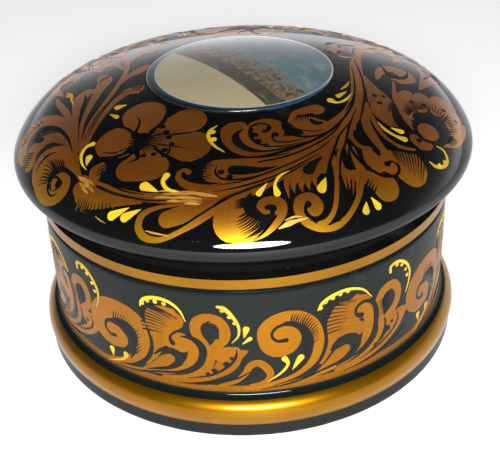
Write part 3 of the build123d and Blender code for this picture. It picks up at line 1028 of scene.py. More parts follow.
def frieze_low() -> list[Stroke]:
    """The other unit of the frieze, with its scroll set low and a small loop leaf after it.

    Returns:
        The strokes.
    """
    return [
        gold((-46, 15.6, 0.8), (-40, 17, 1), (-34, 20, 1.4), (-30, 25, 1.9), (-28.8, 31, 2.3),
             (-30.6, 36, 3), (-35, 38.2, 3.2),
             (-40.4, 37, 3.8), (-43.6, 33, 4), (-43.6, 28.8, 3.8), (-41.6, 26, 3), end=True),
        gold((-39.6, 27.2, 4.6), (-37.6, 27.4, 4.2), end=True),
        line((-33.8, 20.6, 0.2), (-32.4, 24, 0.8), (-33, 28, 1), (-35.4, 31.6, 1), (-38.4, 32.8, 0.8),
             (-41, 31.6, 0.6), (-41.7, 29, 0.5),
             (-40.2, 27, 0.5), (-38.4, 27.2, 0.75), end=True),
        *comb([(-31.6, 23), (-32.4, 28.4), (-35, 32.2), (-38.6, 33.6)],
              [(-29.6, 25.4), (-29.6, 32.4), (-33, 37), (-38, 38)], 17, 0.28, bow=0.05),
        line((-38, 16.6, 0.1), (-31, 19.6, 0.45), (-27.4, 24.4, 0.6), (-26.5, 30, 0.6), (-27.6, 36, 0.2)),
        line((-40, 15.2, 0.1), (-32, 16.6, 0.35), (-24, 19.2, 0.35), (-17, 21.2, 0.12)),
        # broad leaf
        gold((-23.6, 33, 3.6), (-22.6, 36.6, 4.6), (-21, 39, 4.4), (-19.6, 40, 3.2), end=True),
        gold((-25.4, 36.6, 2.6), (-25.6, 41, 2), (-23, 43, 1.6), (-20, 43, 1.4), end=True),
        gold((-18, 33.2, 2.6), (-15, 31, 2.1), (-15, 27, 2), (-17, 23.4, 1.5), (-21, 20.4, 1.1),
             (-28, 18.2, 0.7), (-36, 16.4, 0.5)),
        gold((-24.6, 33, 2.4), (-24.6, 29, 1.7), (-26, 25, 1), (-29, 20.6, 0.6)),
        gold((-20, 31.4, 2.9), (-18, 30.6, 2.2), end=True),
        *comb([(-28.6, 33.6), (-29, 38.6), (-27.6, 43), (-25.4, 44.4)],
              [(-22.6, 34), (-21.6, 37.6), (-19.6, 40), (-17.8, 41)], 11, 0.28, bow=0.05),
        line((-16.8, 39.6, 0.15), (-17.4, 37.2, 0.4), (-19.6, 35.6, 0.4), (-21, 33.4, 0.4),
             (-20.4, 31.4, 0.9), end=True),
        line((-18, 34.6, 0.2), (-15, 34.2, 0.9), (-12.8, 31.6, 1.25), (-12.6, 28, 1.2), (-14.4, 24, 0.9),
             (-18.6, 20.8, 0.55), (-26, 18.4, 0.15)),
        line((-26, 25.6, 0.3), (-23.6, 28, 0.7), (-20.4, 28.4, 1), (-18.4, 26.6, 1), (-18.8, 24, 0.8),
             (-22, 21.2, 0.5), (-29, 18.6, 0.12)),
        gold((-21.6, 25.2, 1.7), (-23.4, 23.6, 2), (-26, 21.4, 1.1), (-30, 18.4, 0.3)),
        # loop leaf
        gold((-24, 17.4, 0.6), (-17, 19.2, 0.9), (-12.4, 22.6, 1.3), (-10.6, 27, 1.4), (-11.6, 31.6, 1.4),
             (-13.8, 36, 1.6), (-13.8, 40, 1.7),
             (-11.4, 42.2, 1.7), (-8.2, 41.6, 1.6), (-6.6, 38.4, 1.6), (-7, 35, 1.8), (-8.6, 32.4, 1.6),
             (-10.2, 30.4, 1.4)),
        line((-10.4, 41, 0.3), (-11.6, 39.4, 0.9), (-10.4, 37.6, 1.6), (-8.6, 36.2, 0.8), (-8.4, 34.4, 0.1)),
        *comb([(-11.4, 39), (-9.4, 35.4)], [(-12.9, 37.8), (-11, 33.4)], 5, 0.3),
        # low leaf with dots
        gold((-22, 16.6, 0.5), (-14, 18.6, 0.9), (-9.6, 21.6, 1.9), (-6.6, 25, 3), (-4.2, 28.6, 2.4),
             (-1, 30.4, 0.3)),
        gold((-8, 28.4, 2.2), (-6, 30.2, 1.8), (-4, 30.8, 1.2), end=True),
        line((-3.8, 31, 0.15), (-4.2, 28, 0.45), (-5.8, 25, 0.45), (-10.4, 21, 0.4), (-17, 18.6, 0.1)),
        dot(-6.6, 25.2, 1.05), dot(-9.8, 22.6, 0.9), dot(-11.6, 21.2, 0.7), dot(-5.2, 27.6, 0.6),
        line((-20, 16.2, 0.08), (-12, 17.2, 0.35), (-4, 20, 0.35), (0, 23, 0.1)),
        # small loop leaf
        gold((-9, 16.8, 0.5), (-4.6, 18.8, 0.8), (-2, 21.8, 1), (-0.6, 24.8, 1.2), (1.6, 25.6, 1.3),
             (3.6, 23.4, 1.3), (4.4, 20.6, 1.1), (3, 18.2, 0.9), (-1, 16.8, 0.7)),
        line((2, 22.6, 0.7), (0.8, 20.8, 1.1), (-1.4, 18.8, 0.6), (-4.6, 17.6, 0.1)),
        # crests and drops
        yellow((-28.7, 42.6, 0.15), (-28.2, 44.6, 0.5), (-26.4, 46.4, 0.6), (-23, 47.2, 0.6),
               (-20, 46.4, 0.5), (-17.6, 43.8, 0.35), (-16.4, 40.2, 0.08)),
        *(dot(x, y, 0.68, Layer.YELLOW) for x, y in ((-28, 44), (-26.4, 45.4), (-24.2, 45.7), (-21.8, 45.6))),
        yellow((-8, 46.6, 0.45), (-6.6, 46.2, 0.7), (-4.6, 43.4, 0.6), (-3.1, 39.6, 0.45), (-3.3, 36, 0.3),
               (-5, 33.4, 0.08)),
        *(dot(x, y, 0.6, Layer.YELLOW) for x, y in ((-6.9, 45.2), (-5.2, 43), (-4, 40.8))),
        drop(-1.2, 38.6, -1.9, 35.2, 1), drop(-0.4, 35, -2.4, 33, 0.7),
        drop(-40.4, 21, -40.2, 18.2, 1), yellow((-35.4, 21.2, 1), (-36, 19.4, 0.45), (-38.4, 17.6, 0.35),
            (-42.4, 15.4, 0.08)),
    ]


# ---------------------------------------------------------------- the box's form


@dataclass(frozen=True)
class BoxForm:
    """The sizes of the turned box, in millimetres, and its outlines from the top outwards and down."""

    brim_radius: float = 75.0
    brim_height: float = 68.8
    dome_height: float = 92.1
    crown_round: float = 202.8
    haunch_round: float = 24.7
    brim_round: float = 4.705
    nose_radius: float = 4.0
    neck_round: float = 7.14
    neck_radius: float = 66.6
    neck_height: float = 58.0
    skirt_radius: float = 68.2
    skirt_edge: float = 0.5
    skirt_bore: float = 63.0
    seat_height: float = 52.6
    step_height: float = 58.8
    side_radius: float = 60.5
    lid_thickness: float = 9.0
    lid_hollow_round: float = 12.0
    wall_radius: float = 67.8
    shoulder_round: float = 2.0
    rim_radius: float = 62.7
    rim_top: float = 57.6
    rim_edge: float = 0.7
    bore_radius: float = 59.5
    floor_round: float = 8.0
    floor_top: float = 7.0
    roll_radius: float = 72.4
    roll_section: float = 5.5
    roll_height: float = 8.0
    cove_radius: float = 1.8
    foot_radius: float = 71.8
    foot_edge: float = 0.6
    hollow_radius: float = 56.0
    hollow_depth: float = 1.2
    medallion_radius: float = 30.0
    medallion_proud: float = 0.8
    medallion_sink: float = 0.4
    medallion_edge: float = 0.4

    @property
    def crown_centre(self) -> Pair:
        """Middle of the crown's arc."""
        return (0.0, self.dome_height - self.crown_round)

    def lid_face(self, start_radius: float = 0.0) -> Outline:
        """The lid's outer face, from the crown to the foot of its skirt.

        Args:
            start_radius: where on the crown it starts.

        Returns:
            The outline.
        """
        crown, brim = self.crown_centre, (self.brim_radius - self.brim_round, self.brim_height)
        reach = math.dist(crown, brim)
        crown_gap, brim_gap = self.crown_round - self.haunch_round, self.haunch_round - self.brim_round
        along_way = (crown_gap**2 - brim_gap**2 + reach**2) / (2 * reach)
        aside = math.sqrt(crown_gap**2 - along_way**2)
        way = ((brim[0] - crown[0]) / reach, (brim[1] - crown[1]) / reach)
        haunch = (crown[0] + way[0] * along_way - way[1] * aside,
                  crown[1] + way[1] * along_way + way[0] * aside)
        crown_joint = math.degrees(math.atan2(haunch[1] - crown[1], haunch[0] - crown[0]))
        brim_joint = math.degrees(math.atan2(brim[1] - haunch[1], brim[0] - haunch[0]))
        nose_axis = self.brim_radius - self.nose_radius
        neck_axis = (self.neck_radius + self.neck_round, self.neck_height)
        nose_angle = math.degrees(math.atan2(neck_axis[1] - self.brim_height, neck_axis[0] - nose_axis))
        corner = (self.skirt_radius - self.skirt_edge, self.seat_height + self.skirt_edge)
        start = math.degrees(math.acos(start_radius / self.crown_round))
        made = Outline().arc(crown, self.crown_round, start, crown_joint, 0.4)
        made.arc(haunch, self.haunch_round, crown_joint, brim_joint, 2.0).arc(brim, self.brim_round,
            brim_joint, 0, 4.0)
        made.arc((nose_axis, self.brim_height), self.nose_radius, 0, nose_angle, 5.0)
        made.arc(neck_axis, self.neck_round, 180 + nose_angle, 180, 5.0)
        return made.to((self.neck_radius, self.neck_height), (self.skirt_radius, self.neck_height - 1.6)).arc(
            corner, self.skirt_edge, 0, -90, 15.0
        )

    def lid_ceiling(self) -> Outline:
        """The lid's inner face, from its step up to the axis.

        Returns:
            The outline.
        """
        ceiling = self.crown_round - self.lid_thickness
        corner_x = self.side_radius - self.lid_hollow_round
        rise = math.sqrt((ceiling - self.lid_hollow_round) ** 2 - corner_x**2)
        centre = (corner_x, self.crown_centre[1] + rise)
        angle = math.degrees(math.atan2(rise, corner_x))
        made = Outline([(self.side_radius, self.step_height)]).arc(centre, self.lid_hollow_round, 0, angle,
            5.0)
        return made.arc(self.crown_centre, ceiling, angle, 90, 1.0)

    def bowl_inside(self) -> Outline:
        """The bowl's inner face, from the middle of its floor to the top of its rim.

        Returns:
            The outline.
        """
        made = Outline([(0.0, self.floor_top)])
        made.arc((self.bore_radius - self.floor_round, self.floor_top + self.floor_round), self.floor_round,
                 -90, 0, 6.0)
        return made.arc((self.bore_radius + self.rim_edge, self.rim_top - self.rim_edge), self.rim_edge,
                        180, 90, 15.0)

    def foot_roll(self) -> Outline:
        """The bowl's cove and rolled foot, from the wall down to the foot's edge.

        Returns:
            The outline.
        """
        roll = (self.roll_radius - self.roll_section, self.roll_height)
        cove_x = self.wall_radius + self.cove_radius
        rise = math.sqrt((self.roll_section + self.cove_radius) ** 2 - (cove_x - roll[0]) ** 2)
        end = math.degrees(math.atan2(rise, cove_x - roll[0]))
        start = -math.degrees(math.acos((self.foot_radius - roll[0]) / self.roll_section))
        made = Outline().arc((cove_x, self.roll_height + rise), self.cove_radius, 180, 180 + end, 8.0)
        made.arc(roll, self.roll_section, end, start, 5.0)
        return made.arc((self.foot_radius - self.foot_edge, self.foot_edge), self.foot_edge, 0, -90, 15.0)

    def bowl_whole(self) -> Outline:
        """The whole of the bowl's section, from the floor's middle round to the underside's.

        Returns:
            The outline.
        """
        made = Outline(list(self.bowl_inside().points))
        made.arc((self.rim_radius - self.rim_edge, self.rim_top - self.rim_edge), self.rim_edge, 90, 0, 15.0)
        made.to((self.rim_radius, self.seat_height))
        made.arc((self.wall_radius - self.shoulder_round, self.seat_height - self.shoulder_round),
                 self.shoulder_round, 90, 0, 9.0)
        made.points.extend(self.foot_roll().points)
        return made.to((self.hollow_radius + self.hollow_depth, 0.0),
                       (self.hollow_radius, self.hollow_depth), (0.0, self.hollow_depth))

    def lid_whole(self) -> Outline:
        """The whole of the lid's section, with the shallow pocket for the medallion.

        Returns:
            The outline.
        """
        floor = self.crown_round - self.medallion_sink
        pocket = self.medallion_radius + 0.15
        made = Outline().arc(self.crown_centre, floor, 90, math.degrees(math.acos(pocket / floor)), 0.8)
        made.points.extend(self.lid_face(pocket).points)
        made.to((self.skirt_bore, self.seat_height), (self.skirt_bore, self.step_height))
        made.points.extend(self.lid_ceiling().points)
        return made

    def medallion_whole(self) -> Outline:
        """The medallion's section, with its upper edge rounded.

        Returns:
            The outline.
        """
        top, under = self.crown_round + self.medallion_proud, self.crown_round - self.medallion_sink
        edge = self.medallion_radius - self.medallion_edge
        lean = math.degrees(math.acos(edge / (top - self.medallion_edge)))
        rise = math.sqrt((top - self.medallion_edge) ** 2 - edge**2)
        made = Outline().arc(self.crown_centre, top, 90, lean, 0.8)
        made.arc((edge, self.crown_centre[1] + rise), self.medallion_edge, lean, 0, 12.0)
        return made.arc(self.crown_centre, under, math.degrees(math.acos(self.medallion_radius / under)),
                        90, 0.8)


# ---------------------------------------------------------------- geometry trees


def turned_tree() -> Tree:
    """A tree that turns an outline in the XZ plane about Z into a closed form.

    Returns:
        The tree.
    """
    graph, source, result = new_group(
        "turned_form", "GeometryNodeTree",
        [("Outline", "Geometry", None), ("Steps", "Int", 192), ("Waver", "Float", 0.0),
         ("Finish", "Material", None)],
        [("Form", "Geometry")],
    )
    steps, shape = source.outputs["Steps"], source.outputs["Outline"]
    count = graph.add("GeometryNodeAttributeDomainSize", {"Geometry": shape}).outputs["Point Count"]
    rows = graph.plus(steps, 1.0)
    grid = graph.add("GeometryNodeMeshGrid", {"Size X": 1.0, "Size Y": 1.0, "Vertices X": count,
        "Vertices Y": rows})
    index = graph.form("InputIndex")
    along_line = graph.math("FLOOR", graph.over(graph.plus(index, 0.5), rows))
    around = graph.minus(index, graph.times(along_line, rows))
    place = graph.form("InputPosition")
    sample = graph.add("GeometryNodeSampleIndex", data_type="FLOAT_VECTOR")
    graph.feed_all(sample, {"Geometry": shape, "Value": place, "Index": along_line})
    x, _, z = graph.split(graph.out(sample))
    angle = graph.times(graph.over(around, steps), math.tau)
    cos, sin = graph.math("COSINE", angle), graph.math("SINE", angle)
    drift = graph.noise(graph.vector(cos, sin, 0.3), 3.0, 4.0, 0.6)
    lift = graph.times(graph.minus(drift, 0.5), source.outputs["Waver"])
    spot = graph.vector(graph.times(x, cos), graph.times(x, sin), graph.plus(z, lift))
    placed = graph.form("SetPosition", {"Geometry": grid.outputs["Mesh"], "Position": spot})
    merged = graph.form("MergeByDistance", {"Geometry": placed, "Distance": 1e-6})
    smooth = graph.form("SetShadeSmooth", {"Geometry": merged, "Shade Smooth": True})
    whole = graph.form("RealizeInstances", {"Geometry": smooth})
    dressed = graph.form("SetMaterial", {"Geometry": whole, "Material": source.outputs["Finish"]})
    graph.feed(result, "Form", dressed)
    return graph.tree


def brushwork_tree() -> Tree:
    """A tree that lays strokes drawn on a flat plan as thin coats of paint on a turned face.

    Returns:
        The tree.
    """
    graph, source, result = new_group(
        "brushwork", "GeometryNodeTree",
        [("Geometry", "Geometry", None), ("Strokes", "Object", None), ("Face", "Object", None),
         ("Spots", "Object", None), ("Across", "Int", 6), ("Coat", "Float", 0.00005),
         ("Sink", "Float", 0.0001), ("Rolled", "Float", 0.0), ("Roll Radius", "Float", 1.0),
         ("Roll Top", "Float", 0.0), ("Unsteady", "Float", 0.0002), ("Ragged", "Float", 0.08),
         ("Seed", "Int", 3), ("Finish", "Material", None)],
        [("Geometry", "Geometry")],
    )
    take = source.outputs
    spots = graph.add("GeometryNodeObjectInfo", {"Object": take["Spots"]}).outputs["Geometry"]
    drawn = graph.add("GeometryNodeObjectInfo", {"Object": take["Strokes"]}).outputs["Geometry"]
    face = graph.add("GeometryNodeObjectInfo", {"Object": take["Face"]}).outputs["Geometry"]
    copies = graph.form("InstanceOnPoints", {"Points": spots, "Instance": drawn})
    flow = graph.form("RealizeInstances", {"Geometry": copies})
    place = graph.form("InputPosition")
    lot = graph.add("FunctionNodeRandomValue", {
        "Min": 0.0, "Max": 10.0, "Seed": take["Seed"],
        "ID": graph.add("GeometryNodeCurveOfPoint").outputs["Curve Index"],
    })
    kept = (
        ("spine", "FLOAT_VECTOR", place),
        ("way", "FLOAT_VECTOR", graph.form("InputTangent")),
        ("reach", "FLOAT", graph.form("InputRadius")),
        ("run", "FLOAT", graph.add("GeometryNodeSplineParameter").outputs["Length"]),
        ("lot", "FLOAT", graph.out(lot)),
    )

    def store(geometry: Feed, name: str, kind: str, value: Feed) -> Socket:
        """Keeps a field on the points under a name.

        Args:
            geometry: what carries the points.
            name: the field's name.
            kind: its data type.
            value: the field.

        Returns:
            The geometry that carries the field.
        """
        node = graph.add("GeometryNodeStoreNamedAttribute", data_type=kind, domain="POINT")
        graph.feed_all(node, {"Geometry": geometry, "Name": name, "Value": value})
        return node.outputs[0]

    def recall(name: str, kind: str) -> Socket:
        """Reads a kept field."""
        node = graph.add("GeometryNodeInputNamedAttribute", {"Name": name}, data_type=kind)
        return graph.out(node, "Attribute")

    for name, kind, value in kept:
        flow = store(flow, name, kind, value)
    # the brush's cross-section: points 0..Across on top, then two underneath
    across = take["Across"]
    ring = graph.form("CurvePrimitiveCircle", {"Resolution": graph.plus(across, 3.0), "Radius": 1.0})
    index = graph.form("InputIndex")
    on_top = graph.below(index, graph.plus(across, 0.5))
    reach_over = graph.minus(graph.over(graph.times(index, 2.0), across), 1.0)
    below = graph.minus(graph.times(graph.below(index, graph.plus(across, 1.5)), 2.0), 1.0)
    side = graph.plus(graph.times(on_top, reach_over),
                      graph.times(graph.minus(1.0, on_top), below))
    ring = store(store(ring, "side", "FLOAT", side), "upper", "FLOAT", on_top)
    swept = graph.form("CurveToMesh", {"Curve": flow, "Profile Curve": ring, "Scale": 1.0, "Fill Caps": True})

    spine_x, spine_y, extra = graph.split(recall("spine", "FLOAT_VECTOR"))
    way_x, way_y, _ = graph.split(recall("way", "FLOAT_VECTOR"))
    upper, lean, reach = recall("upper", "FLOAT"), recall("side", "FLOAT"), recall("reach", "FLOAT")
    plan = graph.vector(spine_x, spine_y, graph.times(lean, 0.0008))
    rag = graph.minus(graph.noise(plan, 420.0, 3.0, 0.6), 0.5)
    width = graph.times(graph.times(reach, lean),
                       graph.plus(1.0, graph.times(rag, take["Ragged"])))
    drift_x = graph.times(graph.minus(graph.noise(graph.vector(spine_x, spine_y, 0.0), 70.0), 0.5),
                          take["Unsteady"])
    drift_y = graph.times(graph.minus(graph.noise(graph.vector(spine_x, spine_y, 0.7), 70.0), 0.5),
                          take["Unsteady"])
    x = graph.plus(graph.minus(spine_x, graph.times(way_y, width)), drift_x)
    y = graph.plus(graph.plus(spine_y, graph.times(way_x, width)), drift_y)
    coat = graph.times(upper, graph.plus(graph.plus(take["Coat"], extra), take["Sink"]))
    height = graph.minus(coat, take["Sink"])

    def choose(flat: Feed, polar: Feed) -> Socket:
        """The rolled value where the face is rolled, else the polar one."""
        gap = graph.minus(flat, polar)
        return graph.plus(polar, graph.times(gap, take["Rolled"]))

    squares = graph.plus(graph.times(x, x), graph.times(y, y))
    length = choose(graph.minus(take["Roll Top"], y), graph.math("SQRT", squares))
    polar = graph.math("ARCTAN2", y, x)
    angle = choose(graph.minus(graph.over(x, take["Roll Radius"]), math.pi / 2), polar)
    path = graph.add("GeometryNodeSampleCurve", {"Curves": face, "Length": length}, mode="LENGTH")
    out_x, _, out_z = graph.split(path.outputs["Position"])
    tan_x, _, tan_z = graph.split(path.outputs["Tangent"])
    radius = graph.minus(out_x, graph.times(tan_z, height))
    up = graph.plus(out_z, graph.times(tan_x, height))
    spot = graph.vector(graph.times(radius, graph.math("COSINE", angle)),
                        graph.times(radius, graph.math("SINE", angle)), up)
    grain = graph.vector(recall("run", "FLOAT"), width, recall("lot", "FLOAT"))
    swept = store(swept, "grain", "FLOAT_VECTOR", grain)
    outward = graph.form("FlipFaces", {"Mesh": swept})
    placed = graph.form("SetPosition", {"Geometry": outward, "Position": spot})
    smooth = graph.form("SetShadeSmooth", {"Geometry": placed, "Shade Smooth": True})
    whole = graph.form("RealizeInstances", {"Geometry": smooth})
    dressed = graph.form("SetMaterial", {"Geometry": whole, "Material": take["Finish"]})
    graph.feed(result, "Geometry", dressed)
    return graph.tree


def linked(name: str, data: bpy.types.ID) -> Thing:
    """Puts an object with this data in the scene.

    Args:
        name: the object's name.
        data: its mesh, curve, light or camera.

    Returns:
        The object.
    """
    made = bpy.data.objects.new(name, data)
    bpy.context.collection.objects.link(made)
    return made


WORKING_FIELDS = ("spine", "way", "reach", "run", "lot", "side", "upper")
SHARP_ANGLE = math.radians(34)


def grown(name: str, base: Thing, tree: Tree, values: dict[str, Feed]) -> Thing:
    """Runs a tree on a base object and keeps the result as a plain mesh.

    Args:
        name: the new piece's name.
        base: the object that carries the modifier; it is removed.
        tree: the geometry tree.
        values: the tree's inputs by name.

    Returns:
        The new piece, with no modifier.
    """
    modifier = base.modifiers.new("grow", "NODES")
    modifier.node_group = tree
    for item in tree.interface.items_tree:
        if item.item_type == "SOCKET" and item.in_out == "INPUT" and item.name in values:
            modifier[item.identifier] = values[item.name]
    graph = bpy.context.evaluated_depsgraph_get()
    mesh = bpy.data.meshes.new_from_object(base.evaluated_get(graph), depsgraph=graph)
    bpy.data.objects.remove(base)
    for spare in WORKING_FIELDS:
        if spare in mesh.attributes:
            mesh.attributes.remove(mesh.attributes[spare])
    mesh.set_sharp_from_angle(angle=SHARP_ANGLE)
    return linked(name, mesh)


def poly_curve(name: str, lines: Iterable[Sequence[tuple[float, float, float, float]]]) -> Thing:
    """A curve object with one open spline through each list of (x, y, z, radius) points, in metres.

    Args:
        name: the object's name.
        lines: the points of each spline.

    Returns:
        The object.
    """
    data = bpy.data.curves.new(name, "CURVE")
    data.dimensions = "3D"
    for points in lines:
        spline = data.splines.new("POLY")
        spline.points.add(len(points) - 1)
        spline.points.foreach_set("co", [v for x, y, z, _ in points for v in (x, y, z, 1.0)])
        spline.points.foreach_set("radius", [point[3] for point in points])
    return linked(name, data)


def point_mesh(name: str, points: Sequence[tuple[float, float, float]], joined: bool) -> Thing:
    """A mesh object of bare points, joined in order if asked.

    Args:
        name: the object's name.
        points: the points, in metres.
        joined: whether edges join them.

    Returns:
        The object.
    """
    mesh = bpy.data.meshes.new(name)
    mesh.from_pydata(points, [(k, k + 1) for k in range(len(points) - 1)] if joined else [], [])
    return linked(name, mesh)


# ---------------------------------------------------------------- finishes


class SharedEffects:
    """Shader groups that more than one finish uses."""

    def __init__(self) -> None:
        """Makes the groups."""
        self.lacquer = self._lacquer()
        self.streaks = self._streaks()
        self.wear = self._wear()

    @staticmethod
    def _lacquer() -> Tree:
        """Fine waviness, dust specks and smudges in a lacquered face.

        Returns:
            The group's tree.
        """
        graph, source, result = new_group(
            "lacquer_surface", "ShaderNodeTree",
            [("Dust", "Float", 0.5), ("Relief", "Float", 0.15)],
            [("Dust", "Float"), ("Smudge", "Float"), ("Normal", "Vector")],
        )
        spot = graph.place()
        cells = graph.add("ShaderNodeTexVoronoi", {"Vector": spot, "Scale": 620.0, "Randomness": 1.0})
        speck = graph.spread(cells.outputs["Distance"], 0.05, 0.11, 1.0, 0.0)
        chosen = graph.above(graph.split(cells.outputs["Color"])[0], 0.86)
        lint = graph.spread(graph.noise(spot, 36.0, 5.0, 0.65), 0.62, 0.78)
        dust = graph.math("MULTIPLY", graph.math("MAXIMUM", graph.times(speck, chosen),
            graph.times(lint, 0.25)),
                          source.outputs["Dust"], clamp=True)
        smudge = graph.spread(graph.noise(spot, 14.0, 4.0, 0.6), 0.35, 0.75)
        waves = graph.plus(graph.noise(spot, 90.0, 2.0, 0.4),
                           graph.times(graph.noise(spot, 900.0, 2.0, 0.5), 0.12))
        bump = graph.add("ShaderNodeBump", {"Strength": source.outputs["Relief"], "Distance": 0.0002,
            "Height": waves})
        graph.feed_all(result, {"Dust": dust, "Smudge": smudge, "Normal": bump.outputs[0]})
        return graph.tree

    @staticmethod
    def _streaks() -> Tree:
        """Bristle streaks along a stroke, and the stroke's own tone.

        Returns:
            The group's tree.
        """
        graph, source, result = new_group(
            "bristle_streaks", "ShaderNodeTree",
            [("Fineness", "Float", 1.0)],
            [("Streak", "Float"), ("Tone", "Float"), ("Powder", "Float"), ("Normal", "Vector")],
        )
        grain = graph.add("ShaderNodeAttribute", attribute_name="grain").outputs["Vector"]
        run, over, lot = graph.split(grain)
        fine = source.outputs["Fineness"]
        stretched = graph.vector(graph.times(run, 90.0), graph.times(graph.times(over, fine), 2600.0), lot)
        streak = graph.noise(stretched, 1.0, 3.0, 0.6)
        spot = graph.place()
        powder = graph.noise(spot, 4200.0, 2.0, 0.7)
        tone = graph.math("FRACT", lot)
        height = graph.plus(streak, graph.times(powder, 0.3))
        bump = graph.add("ShaderNodeBump", {"Strength": 0.35, "Distance": 0.00006, "Height": height})
        graph.feed_all(result, {"Streak": streak, "Tone": tone, "Powder": powder, "Normal": bump.outputs[0]})
        return graph.tree

    @staticmethod
    def _wear() -> Tree:
        """Rubbed patches inside a band of height, for edges that touch a table or another part.

        Returns:
            The group's tree.
        """
        graph, source, result = new_group(
            "edge_wear", "ShaderNodeTree",
            [("Height", "Float", 0.0), ("Reach", "Float", 0.001), ("Amount", "Float", 0.5)],
            [("Mask", "Float")],
        )
        spot = graph.place()
        gap = graph.math("ABSOLUTE", graph.minus(graph.split(spot)[2], source.outputs["Height"]))
        near = graph.math("SUBTRACT", 1.0, graph.over(gap, source.outputs["Reach"]), clamp=True)
        patches = graph.spread(graph.noise(spot, 260.0, 6.0, 0.7), 0.48, 0.6)
        graph.feed(result, "Mask", graph.math("MULTIPLY", graph.times(near, patches),
            source.outputs["Amount"], clamp=True))
        return graph.tree


def new_material(name: str) -> tuple[Material, Graph, Node]:
    """An empty node material with a Principled shader wired to its output.

    Args:
        name: the material's name.

    Returns:
        The material, its Graph and its shader.
    """
    material = bpy.data.materials.new(name)
    material.use_nodes = True
    material.node_tree.nodes.clear()
    graph = Graph(material.node_tree)
    surface = graph.add("ShaderNodeBsdfPrincipled")
    output = graph.add("ShaderNodeOutputMaterial")
    graph.tree.links.new(surface.outputs[0], output.inputs["Surface"])
    return material, graph, surface


BARE_WOOD = (0.16, 0.09, 0.045)
GREY_DUST = (0.42, 0.42, 0.4)
WARM_DUST = (0.45, 0.43, 0.38)


@dataclass(frozen=True)
class Lacquer:
    """Deep gloss lacquer over a dark ground."""

    name: str
    ground: Colour
    dust: float
    rough: float
    wear_height: float
    wear_reach: float
    wear: float
    coat: float
    # painted shade: the coat is thinned in a band round this height, dimming the gloss there
    painted_shade_height: float = -1.0
    painted_shade_reach: float = 0.0024

    def build(self, shared: SharedEffects) -> Material:
        """Makes the material.

        Args:
            shared: the shader groups that finishes use.

        Returns:
            The material.
        """
        material, graph, surface = new_material(self.name)
        skin = graph.add("ShaderNodeGroup", node_tree=shared.lacquer)
        graph.feed_all(skin, {"Dust": self.dust, "Relief": 0.1})
        rub = graph.add("ShaderNodeGroup", node_tree=shared.wear)
        graph.feed_all(rub, {"Height": self.wear_height, "Reach": self.wear_reach, "Amount": self.wear})
        spot = graph.place()
        mottle = graph.blend(graph.noise(spot, 60.0, 4.0, 0.6), self.ground,
                             tuple(c * 1.7 + 0.001 for c in self.ground))
        rubbed = graph.blend(rub.outputs["Mask"], mottle, BARE_WOOD)
        dusty = graph.blend(graph.times(skin.outputs["Dust"], 0.35), rubbed, GREY_DUST)
        rough = graph.math("ADD", graph.spread(skin.outputs["Smudge"], 0.0, 1.0, self.rough,
            self.rough + 0.07),
                           graph.times(rub.outputs["Mask"], 0.4), clamp=True)
        # painted shade: the coat is thinned in a band of height, which dims the gloss under the lid's brim
        # and at the seat where the halves meet
        gap = graph.math("ABSOLUTE", graph.minus(graph.split(spot)[2], self.painted_shade_height))
        coat = graph.spread(gap, self.painted_shade_reach * 0.5, self.painted_shade_reach, self.coat * 0.06, self.coat)
        graph.feed_all(surface, {
            "Base Color": dusty, "Roughness": rough, "Normal": skin.outputs["Normal"], "IOR": 1.45,
            "Specular IOR Level": 0.0, "Coat Weight": coat, "Coat Roughness": 0.03, "Coat IOR": 1.5,
        })
        return material


@dataclass(frozen=True)
class GoldPaint:
    """Metal powder under amber lacquer, laid with a brush."""

    name: str
    deep: Colour
    bright: Colour
    metallic: float
    rough: float
    coat: float = 1.0
    painted_highlight_below: float = 0.0

    def build(self, shared: SharedEffects) -> Material:
        """Makes the material.

        Args:
            shared: the shader groups that finishes use.

        Returns:
            The material.
        """
        material, graph, surface = new_material(self.name)
        brush = graph.add("ShaderNodeGroup", node_tree=shared.streaks)
        skin = graph.add("ShaderNodeGroup", {"Dust": 0.3}, node_tree=shared.lacquer)
        spot = graph.place()
        cloud = graph.noise(spot, 45.0, 3.0, 0.6)
        mixed = graph.plus(graph.times(brush.outputs["Streak"], 0.55),
                           graph.plus(graph.times(brush.outputs["Tone"], 0.2), graph.times(cloud, 0.35)))
        tone = graph.blend(graph.spread(mixed, 0.3, 0.85), self.deep, self.bright)
        # painted highlight: below this height, on the lower rim where the light catches it, the gold is
        # blended towards a yellower tone
        low = graph.spread(graph.split(spot)[2], self.painted_highlight_below - 0.008, self.painted_highlight_below, 1.0, 0.0)
        tone = graph.blend(low, tone, (self.bright[0] * 0.8, self.bright[1] * 1.3, self.bright[2] * 0.3))
        flecked = graph.blend(graph.spread(brush.outputs["Powder"], 0.35, 0.75, 0.0, 0.35), tone,
                              tuple(c * 0.6 for c in self.deep))
        dusty = graph.blend(graph.times(skin.outputs["Dust"], 0.25), flecked, WARM_DUST)
        rough = graph.spread(brush.outputs["Powder"], 0.2, 0.8, self.rough - 0.06, self.rough + 0.08)
        graph.feed_all(surface, {
            "Base Color": dusty, "Metallic": self.metallic, "Roughness": rough,
            "Normal": brush.outputs["Normal"],
            "Specular IOR Level": 0.1, "Coat Weight": self.coat, "Coat Roughness": 0.04,
        })
        return material


